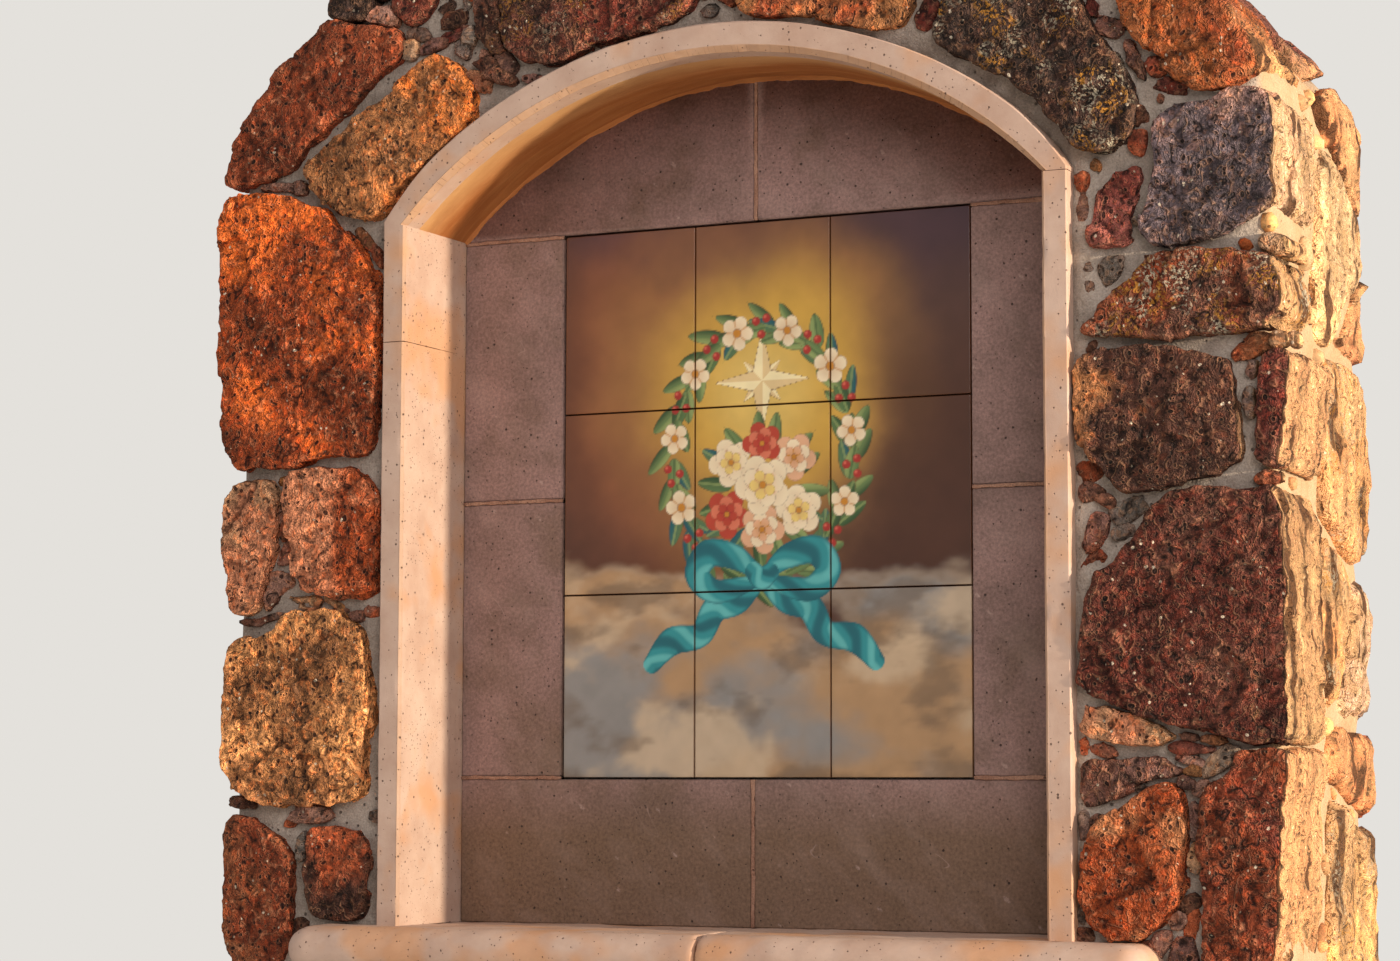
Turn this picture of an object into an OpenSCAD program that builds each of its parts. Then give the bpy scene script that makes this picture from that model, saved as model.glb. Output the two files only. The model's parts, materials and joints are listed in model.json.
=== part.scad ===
// Wayside shrine: a free-standing mass of rubble masonry with an arched niche.
// The niche has a dressed stone frame and sill, a back lined with stone slabs,
// and a panel of glazed tiles let in between the slabs.
// The origin is the middle of the masonry's footprint at ground level.
// The front faces -Y, +X is to the right of someone facing the niche, +Z is up.

/* [Masonry] */
// Width of the masonry body
body_w = 1514; // [1400:2:1700]
// Depth of the masonry body, front to back
body_d = 440; // [340:5:700]
// Height of the top of the sill above the ground
sill_top = 1150; // [600:10:1500]
// Masonry above the crown of the frame's arch
crown_cover = 270; // [200:5:400]
// Rise of the arched top, from its corners to its crown
top_rise = 380; // [250:5:450]
// Radius of the shoulders between the sides and the arched top
shoulder_r = 120; // [60:5:160]

/* [Niche] */
// Clear width between the jambs
niche_w = 917; // [840:1:980]
// Depth from the face of the frame to the slabs at the back
niche_depth = 167; // [120:1:230]
// Height of the jambs, from the sill to the springing of the arch
spring_h = 950; // [900:1:1050]
// Rise of the segmental arch from its springing to its crown
arch_rise = 195; // [150:1:240]

/* [Frame] */
// Width of a jamb's face
jamb_face = 34; // [25:1:50]
// Height of the arch stone's face at the crown
arch_face = 39; // [25:1:50]
// Thickness of the arch stone behind its face
arch_t = 40; // [25:1:70]
// How far the frame stands proud of the masonry
frame_proud = 10; // [6:1:25]
// Chamfer along the inner arris of the frame
inner_chamfer = 8; // [2:0.5:15]
// Chamfer along the outer arris of the frame
outer_chamfer = 5; // [1:0.5:6]
// Height of the joint in the left jamb above the sill
jamb_joint_h = 790; // [300:5:860]
// Open joint between the dressed stones
stone_joint = 2; // [1:0.5:5]

/* [Sill] */
// Length of the sill along the front
sill_w = 1200; // [1120:2:1300]
// Thickness of the sill, which is also the height of its round nose
sill_t = 60; // [40:2:90]
// How far the nose of the sill reaches in front of the frame
sill_overhang = 70; // [50:1:110]
// Place of the joint between the two sill stones at the nose
sill_joint_x = 14; // [-200:2:200]
// How far that joint runs to the left on its way to the back
sill_joint_skew = 26; // [0:2:60]

/* [Back slabs] */
// Thickness of the slabs
slab_t = 25; // [18:1:40]
// Mortar joint between the slabs
slab_joint = 5; // [2:0.5:8]
// Play between the slabs and the frame round them
slab_fit = 1; // [0.5:0.5:3]
// Place of the joint between the two slabs in the arch
lunette_joint_x = -8; // [-150:2:150]
// Place of the joint between the two slabs at the foot
foot_joint_x = -12; // [-150:2:150]
// Height of the joint in the left column of slabs above the sill
left_joint_h = 580; // [350:5:800]
// Height of the joint in the right column of slabs above the sill
right_joint_h = 576; // [350:4:800]

/* [Tile panel] */
// Width of a tile
tile_w = 198; // [150:1:220]
// Height of a tile
tile_h = 248; // [200:1:250]
// Thickness of a tile
tile_t = 8; // [5:0.5:12]
// Joint between the tiles
tile_joint = 2; // [1:0.5:4]
// How far the tiles lie behind the face of the slabs
tile_recess = 3; // [0:0.5:5]
// Gap round the panel, between its tiles and the slabs
panel_gap = 3; // [1:0.5:5]
// Height of the panel's lower edge above the sill
panel_h = 199; // [150:1:230]
// Tiles in a row
tile_columns = 3; // [2:1:3]
// Rows of tiles
tile_rows = 3; // [2:1:3]

/* [Hidden] */
$fn = 96;
// Arc points on each shoulder and on the arched top
shoulder_steps = 8;
top_steps = 32;
// Overrun of a cutter past the face that it cuts
over = 1;

body_half = body_w / 2;
body_front = -body_d / 2;
body_back = body_d / 2;
frame_front = body_front - frame_proud;
lining_front = frame_front + niche_depth;
lining_back = lining_front + slab_t;
sill_bottom = sill_top - sill_t;
sill_front = frame_front - sill_overhang;
nose_r = sill_t / 2;

spring_z = sill_top + spring_h;
inner_half = niche_w / 2;
outer_half = inner_half + jamb_face;
inner_r = (inner_half * inner_half + arch_rise * arch_rise) / (2 * arch_rise);
outer_r = inner_r + arch_face;
arch_z = spring_z + arch_rise - inner_r;

top_z = arch_z + outer_r + crown_cover;
top_r = (body_half * body_half + top_rise * top_rise) / (2 * top_rise);
top_centre_z = top_z - top_r;
shoulder_x = body_half - shoulder_r;
shoulder_z = top_centre_z + sqrt(pow(top_r - shoulder_r, 2) - pow(shoulder_x, 2));
shoulder_turn = atan2(shoulder_z - top_centre_z, shoulder_x);

tile_pitch_x = tile_w + tile_joint;
tile_pitch_z = tile_h + tile_joint;
panel_w = tile_columns * tile_pitch_x - tile_joint;
panel_z = sill_top + panel_h;
panel_top = panel_z + tile_rows * tile_pitch_z - tile_joint;
panel_edge = panel_w / 2 + panel_gap;
tile_front = lining_front + tile_recess;
tile_back = tile_front + tile_t;
foot_top = panel_z - panel_gap;
lunette_bottom = panel_top + panel_gap;
column_bottom = foot_top + slab_joint;
column_top = lunette_bottom - slab_joint;

masonry_colour = "#83543f";
frame_colour = "#dcc3b0";
plaster_colour = "#b08455";
slab_colour = "#6f5e60";
tile_colour = "#c8994a";
bed_colour = "#8c8379";

tile_names = [
    for (row = [1:tile_rows]) for (column = [1:tile_columns]) str("tile_row", row, "_col", column)
];

// Points along an arc in the XZ plane
function arc_points(cx, cz, r, from, to, steps) = [
    for (i = [0:steps])
        let (a = from + (to - from) * i / steps)
        [cx + r * cos(a), cz + r * sin(a)]
];

// A box given by its limits on each axis
module block(x, y, z)
    translate([x[0], y[0], z[0]])
        cube([x[1] - x[0], y[1] - y[0], z[1] - z[0]]);

// A front view drawn in X and Z, given its depth from y0 to y1
module front_view(y0, y1)
    translate([0, y1, 0])
        rotate([90, 0, 0])
            linear_extrude(y1 - y0)
                children();

// Front view of the masonry above z0: straight sides, round shoulders, arched top
module masonry_outline(z0)
    polygon(concat(
        [[body_half, z0]],
        arc_points(shoulder_x, shoulder_z, shoulder_r, 0, shoulder_turn, shoulder_steps),
        arc_points(0, top_centre_z, top_r, shoulder_turn, 180 - shoulder_turn, top_steps),
        arc_points(-shoulder_x, shoulder_z, shoulder_r, 180 - shoulder_turn, 180, shoulder_steps),
        [[-body_half, z0]]
    ));

// An upright prism of half-width w whose front is splayed out by flare, or in if it is negative
module splayed_prism(w, z0, z1, y0, y1, flare)
    translate([0, 0, z0])
        linear_extrude(z1 - z0)
            polygon([
                [-w - flare, y0], [w + flare, y0], [w, y0 + abs(flare)],
                [w, y1], [-w, y1], [-w, y0 + abs(flare)]
            ]);

// A disc of radius r on the arch's centre, with its front rim splayed in the same way
module splayed_disc(r, y0, y1, flare)
    translate([0, y0, arch_z])
        rotate([-90, 0, 0])
            rotate_extrude()
                polygon([
                    [0, 0], [r + flare, 0], [r, abs(flare)], [r, y1 - y0], [0, y1 - y0]
                ]);

// The head of an arched opening: a prism under a disc, so that the splays meet in a mitre
module arched_head(w, r, z0, y0, y1, flare = 0)
    intersection() {
        splayed_prism(w, z0, arch_z + r + over, y0, y1, flare);
        splayed_disc(r, y0, y1, flare);
    }

// The clear space under the arch, with the chamfer of its inner arris
module arch_void(y1)
    arched_head(
        inner_half, inner_r, spring_z - over, frame_front - over, y1, inner_chamfer + over
    );

// Section of the sill's round nose, on the outer side of its centre line
module nose_section()
    intersection() {
        circle(r = nose_r);
        translate([0, -nose_r])
            square([nose_r, 2 * nose_r]);
    }

// The right half of the sill: a slab whose round nose turns round the end
module sill_half() {
    end_x = sill_w / 2 - nose_r;
    nose_y = sill_front + nose_r;
    nose_z = sill_bottom + nose_r;
    block([-sill_w / 4, end_x], [nose_y, lining_back], [sill_bottom, sill_top]);
    translate([-sill_w / 4, nose_y, nose_z])
        rotate([0, 90, 0])
            rotate([0, 0, -90])
                linear_extrude(end_x + sill_w / 4)
                    nose_section();
    translate([end_x, lining_back, nose_z])
        rotate([90, 0, 0])
            linear_extrude(lining_back - nose_y)
                nose_section();
    translate([end_x, nose_y, nose_z])
        rotate([0, 0, -90])
            rotate_extrude(angle = 90)
                nose_section();
}

// One of the two sill stones, on the side -1 (left) or 1 (right) of the slanting joint
module sill_stone(side) {
    front_x = sill_joint_x + side * stone_joint / 2;
    back_x = front_x - sill_joint_skew;
    color(frame_colour)
        intersection() {
            if (side > 0)
                sill_half();
            else
                mirror([1, 0, 0])
                    sill_half();
            translate([0, 0, sill_bottom - over])
                linear_extrude(sill_t + 2 * over)
                    polygon([
                        [front_x, sill_front - over], [side * sill_w, sill_front - over],
                        [side * sill_w, lining_back + over], [back_x, lining_back + over]
                    ]);
        }
}

// A length of jamb on one side, from z0 to z1, the full depth of the niche
module jamb(side, z0, z1)
    color(frame_colour)
        difference() {
            intersection() {
                splayed_prism(outer_half, z0, z1, frame_front, lining_back, -outer_chamfer);
                block([min(0, side * body_w), max(0, side * body_w)], [frame_front, lining_back], [z0, z1]);
            }
            splayed_prism(
                inner_half, z0 - over, z1 + over, frame_front - over, lining_back + over,
                inner_chamfer + over
            );
        }

// A back slab given by its limits in X and Z, cut to the arch where it reaches that high
module slab(x, z) {
    half = inner_half - slab_fit;
    color(slab_colour)
        intersection() {
            block(
                [max(x[0], -half), min(x[1], half)], [lining_front, lining_back], z
            );
            union() {
                block([-half, half], [lining_front - over, lining_back + over], [sill_top - over, spring_z]);
                arched_head(
                    half, inner_r - slab_fit, spring_z - over, lining_front - over, lining_back + over
                );
            }
        }
}

module base()
    color(masonry_colour)
        block([-body_half, body_half], [body_front, body_back], [0, sill_bottom]);

// The hollow in the front of a pier that holds the end of the sill
module sill_pocket(side)
    mirror([side > 0 ? 0 : 1, 0, 0])
        translate([sill_w / 2 - nose_r, body_front - over, sill_bottom + nose_r]) {
            rotate([-90, 0, 0])
                cylinder(h = lining_back - body_front + 2 * over, r = nose_r);
            translate([-sill_w / 2, 0, -nose_r - over])
                cube([sill_w / 2, lining_back - body_front + 2 * over, sill_t + over]);
        }

module pier(side)
    color(masonry_colour)
        difference() {
            block(
                side > 0 ? [outer_half, body_half] : [-body_half, -outer_half],
                [body_front, lining_back], [sill_bottom, spring_z]
            );
            sill_pocket(side);
        }

module back_wall()
    color(masonry_colour)
        front_view(lining_back, body_back)
            masonry_outline(sill_bottom);

module crown()
    color(masonry_colour)
        difference() {
            front_view(body_front, lining_back)
                masonry_outline(spring_z);
            arched_head(
                outer_half, outer_r, spring_z - over, body_front - over, lining_back + over
            );
        }

module arch_stone()
    color(frame_colour)
        difference() {
            arched_head(
                outer_half, outer_r, spring_z + stone_joint / 2,
                frame_front, frame_front + arch_t, -outer_chamfer
            );
            arch_void(frame_front + arch_t + over);
        }

module arch_soffit()
    color(plaster_colour)
        difference() {
            arched_head(
                outer_half, outer_r, spring_z, frame_front + arch_t, lining_back
            );
            arch_void(lining_back + over);
        }

module tile_bed()
    color(bed_colour)
        block([-panel_w / 2, panel_w / 2], [tile_back, lining_back], [panel_z, panel_top]);

// One tile of the panel, rows counted from the top and columns from the left
module tile(row, column) {
    x0 = -panel_w / 2 + (column - 1) * tile_pitch_x;
    z0 = panel_z + (tile_rows - row) * tile_pitch_z;
    color(tile_colour)
        block([x0, x0 + tile_w], [tile_front, tile_back], [z0, z0 + tile_h]);
}

base();
pier(-1);  // pier_left
pier(1);  // pier_right
back_wall();
crown();
sill_stone(-1);  // sill_left
sill_stone(1);  // sill_right
jamb(-1, sill_top, sill_top + jamb_joint_h - stone_joint / 2);  // jamb_left_lower
jamb(-1, sill_top + jamb_joint_h + stone_joint / 2, spring_z);  // jamb_left_upper
jamb(1, sill_top, spring_z);  // jamb_right
arch_stone();
arch_soffit();
slab([-inner_half, lunette_joint_x - slab_joint / 2], [lunette_bottom, arch_z + inner_r]);  // slab_lunette_left
slab([lunette_joint_x + slab_joint / 2, inner_half], [lunette_bottom, arch_z + inner_r]);  // slab_lunette_right
slab([-inner_half, -panel_edge], [sill_top + left_joint_h + slab_joint / 2, column_top]);  // slab_left_upper
slab([-inner_half, -panel_edge], [column_bottom, sill_top + left_joint_h - slab_joint / 2]);  // slab_left_lower
slab([panel_edge, inner_half], [sill_top + right_joint_h + slab_joint / 2, column_top]);  // slab_right_upper
slab([panel_edge, inner_half], [column_bottom, sill_top + right_joint_h - slab_joint / 2]);  // slab_right_lower
slab([-inner_half, foot_joint_x - slab_joint / 2], [sill_top, foot_top]);  // slab_foot_left
slab([foot_joint_x + slab_joint / 2, inner_half], [sill_top, foot_top]);  // slab_foot_right
tile_bed();
for (row = [1:tile_rows])
    for (column = [1:tile_columns])
        tile(row, column);
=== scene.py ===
import json
import math
import random
import bmesh
import bpy
import numpy as np
from mathutils import Matrix, Vector

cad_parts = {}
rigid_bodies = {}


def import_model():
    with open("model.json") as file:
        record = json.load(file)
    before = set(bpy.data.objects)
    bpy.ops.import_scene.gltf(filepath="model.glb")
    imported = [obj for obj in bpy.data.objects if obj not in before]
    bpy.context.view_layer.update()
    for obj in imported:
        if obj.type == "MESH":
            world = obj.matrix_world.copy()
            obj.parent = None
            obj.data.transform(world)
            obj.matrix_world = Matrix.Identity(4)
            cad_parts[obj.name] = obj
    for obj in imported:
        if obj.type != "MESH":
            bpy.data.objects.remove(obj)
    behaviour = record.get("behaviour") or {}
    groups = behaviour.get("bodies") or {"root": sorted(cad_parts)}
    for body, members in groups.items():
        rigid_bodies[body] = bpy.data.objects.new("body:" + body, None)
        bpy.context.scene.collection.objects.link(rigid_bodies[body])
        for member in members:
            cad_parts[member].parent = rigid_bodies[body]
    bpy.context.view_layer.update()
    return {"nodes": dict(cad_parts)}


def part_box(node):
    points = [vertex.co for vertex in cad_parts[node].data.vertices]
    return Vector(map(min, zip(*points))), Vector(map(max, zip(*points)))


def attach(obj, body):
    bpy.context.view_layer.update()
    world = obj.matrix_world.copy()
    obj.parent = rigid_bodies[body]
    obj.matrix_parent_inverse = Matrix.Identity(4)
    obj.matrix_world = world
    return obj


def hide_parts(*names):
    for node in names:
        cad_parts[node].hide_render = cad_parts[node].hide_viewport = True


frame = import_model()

nodes = frame["nodes"]
wallLow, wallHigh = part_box("base")
sillLow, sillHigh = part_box("sill_left")
crownLow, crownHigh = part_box("crown")
archLow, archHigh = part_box("arch_stone")
jambLow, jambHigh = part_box("jamb_right")
slabLow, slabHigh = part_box("slab_lunette_left")
halfWidth = wallHigh[0]
frontY, backY = wallLow[1], wallHigh[1]
frameY = archLow[1]
topZ = crownHigh[2]
sillBottom, sillTop = sillLow[2], sillHigh[2]
springZ = crownLow[2]
innerX, outerX = jambLow[0], jambHigh[0]
slabY, slabBackY = slabLow[1], slabHigh[1]
print("frame loaded:", len(nodes), "nodes")


# small helpers for meshes, nodes and colours

def tone(code):
    parts = [int(code[i:i + 2], 16) / 255 for i in (0, 2, 4)]
    linear = [c / 12.92 if c <= 0.04045 else ((c + 0.055) / 1.055) ** 2.4 for c in parts]
    return (*linear, 1.0)


def meshFromFaces(name, points, faces):
    # faces is an array of four corners a row, with -1 in the last place of a triangle
    faces = np.asarray(faces, dtype=np.int32)
    isTriangle = faces[:, 3] < 0
    corners = faces.reshape(-1)
    corners = corners[corners >= 0]
    sizes = np.where(isTriangle, 3, 4)
    starts = np.concatenate(([0], np.cumsum(sizes)[:-1]))
    mesh = bpy.data.meshes.new(name)
    mesh.vertices.add(len(points))
    mesh.vertices.foreach_set("co", np.asarray(points, dtype=np.float32).reshape(-1))
    mesh.loops.add(len(corners))
    mesh.loops.foreach_set("vertex_index", corners)
    mesh.polygons.add(len(faces))
    mesh.polygons.foreach_set("loop_start", starts.astype(np.int32))
    mesh.polygons.foreach_set("loop_total", sizes.astype(np.int32))
    mesh.update(calc_edges=True)
    return mesh


def giveFloat(mesh, name, values):
    layer = mesh.attributes.new(name, "FLOAT", "POINT")
    layer.data.foreach_set("value", np.asarray(values, dtype=np.float32))


def giveColour(mesh, name, values):
    layer = mesh.attributes.new(name, "FLOAT_COLOR", "POINT")
    layer.data.foreach_set("color", np.asarray(values, dtype=np.float32).reshape(-1))


def pointsOf(mesh):
    points = np.empty(len(mesh.vertices) * 3, dtype=np.float32)
    mesh.vertices.foreach_get("co", points)
    return points.reshape(-1, 3)


def quadsOf(mesh):
    corners = np.empty(len(mesh.loops), dtype=np.int32)
    mesh.loops.foreach_get("vertex_index", corners)
    return corners.reshape(-1, 4)


def newObject(name, mesh):
    thing = bpy.data.objects.new(name, mesh)
    bpy.context.scene.collection.objects.link(thing)
    return thing


def evaluatedMesh(thing):
    graph = bpy.context.evaluated_depsgraph_get()
    return bpy.data.meshes.new_from_object(thing.evaluated_get(graph))


def meshFromBm(bm, name):
    mesh = bpy.data.meshes.new(name)
    bm.to_mesh(mesh)
    bm.free()
    return mesh


def faceOutward(mesh):
    bm = bmesh.new()
    bm.from_mesh(mesh)
    bmesh.ops.recalc_face_normals(bm, faces=bm.faces)
    bm.to_mesh(mesh)
    bm.free()


def weldedCopy(name):
    # a CAD node's mesh with its corners merged, open for editing
    bm = bmesh.new()
    bm.from_mesh(nodes[name].data)
    bmesh.ops.remove_doubles(bm, verts=bm.verts, dist=1e-5)
    return bm


def remeshed(mesh, size, softening):
    # voxel remesh and a few rounds of smoothing, which wears the edges round
    work = newObject("work", mesh)
    voxel = work.modifiers.new("voxel", "REMESH")
    voxel.mode = "VOXEL"
    voxel.voxel_size = size
    if softening:
        soften = work.modifiers.new("soften", "SMOOTH")
        soften.factor = 0.5
        soften.iterations = softening
    result = evaluatedMesh(work)
    bpy.data.objects.remove(work)
    bpy.data.meshes.remove(mesh)
    return result


def finishPiece(piece, material, stands=(), sharpAngle=None):
    mesh = piece.data
    mesh.materials.clear()
    mesh.materials.append(material)
    mesh.shade_smooth()
    if sharpAngle is not None:
        mesh.set_sharp_from_angle(angle=math.radians(sharpAngle))
    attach(piece, "root")
    if stands:
        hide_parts(*stands)


def put(tree, kind, inputs=None, **settings):
    node = tree.nodes.new(kind)
    for name, value in settings.items():
        setattr(node, name, value)
    for name, value in (inputs or {}).items():
        socket = node.inputs[name]
        if isinstance(value, bpy.types.NodeSocket):
            tree.links.new(value, socket)
        else:
            socket.default_value = value
    return node


def calc(tree, a, b, kind, clamp=False):
    return put(tree, "ShaderNodeMath", {0: a, 1: b}, operation=kind, use_clamp=clamp).outputs[0]


def plus(tree, first, *others):
    for other in others:
        first = calc(tree, first, other, "ADD")
    return first


def times(tree, first, *others):
    for other in others:
        first = calc(tree, first, other, "MULTIPLY")
    return first


def minus(tree, a, b):
    return calc(tree, a, b, "SUBTRACT")


def larger(tree, a, b):
    return calc(tree, a, b, "MAXIMUM")


def vectorMath(tree, a, b, kind):
    return put(tree, "ShaderNodeVectorMath", {0: a, 1: b}, operation=kind).outputs[0]


def vectorScale(tree, vector, factor):
    inputs = {0: vector, "Scale": factor}
    return put(tree, "ShaderNodeVectorMath", inputs, operation="SCALE").outputs[0]


def noise(tree, vector, scale, detail, roughness=0.5, output=0):
    inputs = {"Vector": vector, "Scale": scale, "Detail": detail, "Roughness": roughness}
    return put(tree, "ShaderNodeTexNoise", inputs).outputs[output]


def stretched(tree, vector, scale, **settings):
    inputs = {"Vector": vector, "Scale": scale}
    if "turn" in settings:
        inputs["Rotation"] = settings.pop("turn")
    return put(tree, "ShaderNodeMapping", inputs, **settings).outputs[0]


def remap(tree, value, low, high, toLow=0.0, toHigh=1.0):
    inputs = {"Value": value, "From Min": low, "From Max": high, "To Min": toLow, "To Max": toHigh}
    return put(tree, "ShaderNodeMapRange", inputs).outputs[0]


def blend(tree, factor, a, b, kind="MIX"):
    node = put(tree, "ShaderNodeMix", {0: factor, 6: a, 7: b}, data_type="RGBA", blend_type=kind)
    return node.outputs[2]


def tinted(tree, colour, tint):
    return blend(tree, 1.0, colour, tint, "MULTIPLY")


def scaled(tree, colour, factor):
    # the colour made lighter or darker by a factor
    grey = put(tree, "ShaderNodeCombineColor", {0: factor, 1: factor, 2: factor}).outputs[0]
    return tinted(tree, colour, grey)


def seedShifted(tree, place, seed):
    # moves the texture's place by the stone's own seed, so that no two stones are alike
    shift = put(tree, "ShaderNodeCombineXYZ", {
        0: times(tree, seed, 3.7), 1: times(tree, seed, 9.1), 2: times(tree, seed, 5.3),
    }).outputs[0]
    return vectorMath(tree, place, shift, "ADD")


def newGroup(name, inputs, outputs, kind="ShaderNodeTree"):
    group = bpy.data.node_groups.new(name, kind)
    for title, socketType, value in inputs:
        socket = group.interface.new_socket(title, in_out="INPUT", socket_type=socketType)
        if value is not None:
            socket.default_value = value
    for title, socketType in outputs:
        group.interface.new_socket(title, in_out="OUTPUT", socket_type=socketType)
    start, end = group.nodes.new("NodeGroupInput"), group.nodes.new("NodeGroupOutput")
    return group, start.outputs, end.inputs


def useGroup(tree, group, inputs):
    return put(tree, "ShaderNodeGroup", inputs, node_tree=group).outputs


def mottled(tree, vector, scale, low, high, detail):
    inputs = {"Vector": vector, "Scale": scale, "Low": low, "High": high, "Detail": detail}
    return useGroup(tree, mottle, inputs)[0]


def pitted(tree, vector, scale, cover, size):
    # the pits and their lips
    return useGroup(tree, pits, {"Vector": vector, "Scale": scale, "Cover": cover, "Size": size})


def runTree(thing, tree, values):
    # puts a geometry tree on a piece, bakes its result into the mesh and takes the modifier off
    modifier = thing.modifiers.new(tree.name, "NODES")
    modifier.node_group = tree
    for item in tree.interface.items_tree:
        if item.item_type == "SOCKET" and item.in_out == "INPUT" and item.name in values:
            modifier[item.identifier] = values[item.name]
    mesh = evaluatedMesh(thing)
    thing.modifiers.clear()
    thing.data = mesh


# camera, fitted to the corners of the photographed tiles

cameraSet = {
    "place": (1.8009, -4.0061, 1.335), "turn": 25.63, "tilt": 5.41, "roll": 0.11,
    "lens": 83.45, "film": 36.0, "photoWidth": 1400, "photoHeight": 961,
}


def cameraMatrix():
    turn = Matrix.Rotation(math.radians(cameraSet["turn"]), 4, "Z")
    tilt = Matrix.Rotation(math.radians(90 + cameraSet["tilt"]), 4, "X")
    roll = Matrix.Rotation(math.radians(cameraSet["roll"]), 4, "Z")
    return Matrix.Translation(cameraSet["place"]) @ turn @ tilt @ roll


def onFace(px, py, y):
    # the point (x, z) on the upright plane y that the photograph shows at the pixel px, py
    focal = cameraSet["lens"] / cameraSet["film"] * cameraSet["photoWidth"]
    ray = Vector((
        (px - cameraSet["photoWidth"] / 2) / focal,
        (cameraSet["photoHeight"] / 2 - py) / focal,
        -1,
    ))
    ray = cameraMatrix().to_3x3() @ ray
    eye = Vector(cameraSet["place"])
    hit = eye + ray * ((y - eye.y) / ray.y)
    return hit.x, hit.z


cameraData = bpy.data.cameras.new("photoCamera")
cameraData.sensor_width = cameraSet["film"]
cameraData.lens = cameraSet["lens"]
camera = bpy.data.objects.new("photoCamera", cameraData)
camera.matrix_world = cameraMatrix()
bpy.context.scene.collection.objects.link(camera)
bpy.context.scene.camera = camera
bpy.context.scene.view_settings.view_transform = "Standard"
print("camera set")


# shared shader groups

def makePitsGroup():
    # round pits, each Voronoi cell with its own size and many cells with none, and their lips
    group, ends, out = newGroup("pits", [
        ("Vector", "NodeSocketVector", None), ("Scale", "NodeSocketFloat", 200.0),
        ("Cover", "NodeSocketFloat", 0.5), ("Size", "NodeSocketFloat", 0.4),
    ], [("Mask", "NodeSocketFloat"), ("Lip", "NodeSocketFloat")])
    cells = put(group, "ShaderNodeTexVoronoi", {
        "Vector": ends["Vector"], "Scale": ends["Scale"], "Randomness": 0.9,
    })
    chance = put(group, "ShaderNodeSeparateColor", {"Color": cells.outputs["Color"]}).outputs[0]
    start = minus(group, 1.0, ends["Cover"])
    part = calc(group, minus(group, chance, start), ends["Cover"], "DIVIDE")
    radius = times(group, part, ends["Size"])
    inside = minus(group, radius, cells.outputs["Distance"])
    mask = calc(group, inside, 9.0, "MULTIPLY", clamp=True)
    group.links.new(mask, out["Mask"])
    around = calc(group, plus(group, inside, 0.11), 9.0, "MULTIPLY", clamp=True)
    around = times(group, around, calc(group, chance, start, "GREATER_THAN"))
    group.links.new(minus(group, around, mask), out["Lip"])
    return group


def makeMottleGroup():
    # soft patches with a set edge
    group, ends, out = newGroup("mottle", [
        ("Vector", "NodeSocketVector", None), ("Scale", "NodeSocketFloat", 10.0),
        ("Low", "NodeSocketFloat", 0.4), ("High", "NodeSocketFloat", 0.6),
        ("Detail", "NodeSocketFloat", 4.0),
    ], [("Mask", "NodeSocketFloat")])
    cloud = put(group, "ShaderNodeTexNoise", {
        "Vector": ends["Vector"], "Scale": ends["Scale"],
        "Detail": ends["Detail"], "Roughness": 0.62,
    })
    mask = remap(group, cloud.outputs[0], ends["Low"], ends["High"])
    group.links.new(mask, out["Mask"])
    return group


def makeCurlsGroup():
    # short curling strokes, like the broken walls of the bubbles in lava
    group, ends, out = newGroup("curls", [
        ("Vector", "NodeSocketVector", None), ("Scale", "NodeSocketFloat", 40.0),
        ("Lines", "NodeSocketFloat", 5.0), ("Width", "NodeSocketFloat", 0.12),
        ("Cover", "NodeSocketFloat", 0.5),
    ], [("Mask", "NodeSocketFloat")])
    cloud = put(group, "ShaderNodeTexNoise", {
        "Vector": ends["Vector"], "Scale": ends["Scale"], "Detail": 1.5,
        "Roughness": 0.5, "Distortion": 1.2,
    })
    steps = times(group, cloud.outputs[0], ends["Lines"])
    wave = calc(group, steps, 0.5, "PINGPONG")
    line = remap(group, wave, 0.0, ends["Width"], 1.0, 0.0)
    gate = put(group, "ShaderNodeTexNoise", {
        "Vector": ends["Vector"], "Scale": times(group, ends["Scale"], 1.7),
        "Detail": 1.0,
    })
    edge = minus(group, 0.72, times(group, ends["Cover"], 0.44))
    opened = remap(group, gate.outputs[0], edge, plus(group, edge, 0.06), 0.0, 1.0)
    group.links.new(times(group, line, opened), out["Mask"])
    return group


pits = makePitsGroup()
mottle = makeMottleGroup()
curls = makeCurlsGroup()


def newMaterial(name, roughness, specular):
    material = bpy.data.materials.new(name)
    material.use_nodes = True
    tree = material.node_tree
    shader = tree.nodes["Principled BSDF"]
    shader.inputs["Roughness"].default_value = roughness
    shader.inputs["Specular IOR Level"].default_value = specular
    return material, tree, shader


def objectVector(tree):
    return put(tree, "ShaderNodeTexCoord").outputs["Object"]


def attribute(tree, name, output="Fac"):
    return put(tree, "ShaderNodeAttribute", attribute_name=name).outputs[output]


def addBump(tree, shader, height, distance, strength=1.0):
    bump = put(tree, "ShaderNodeBump", {
        "Height": height, "Distance": distance, "Strength": strength,
    })
    tree.links.new(bump.outputs[0], shader.inputs["Normal"])


stoneFinish = {
    "pitScale": 96.0, "pitCover": 0.86, "pitSize": 0.36, "poreScale": 200.0, "poreCover": 0.60,
    "lip": 0.72, "curlScale": 36.0, "curlLines": 4.0, "curlWidth": 0.14,
    "flakeScale": 150.0, "bump": 0.0064, "swirl": 0.016, "jitter": 0.0045,
    "fleck": tone("ead9c2"), "goldLichen": tone("bd8230"), "paleLichen": tone("b9ad97"),
    "rimLight": tone("d29c78"), "sunlitPale": tone("dfb27e"),
    "sideShade": tone("5c3a22"),
}


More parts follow.
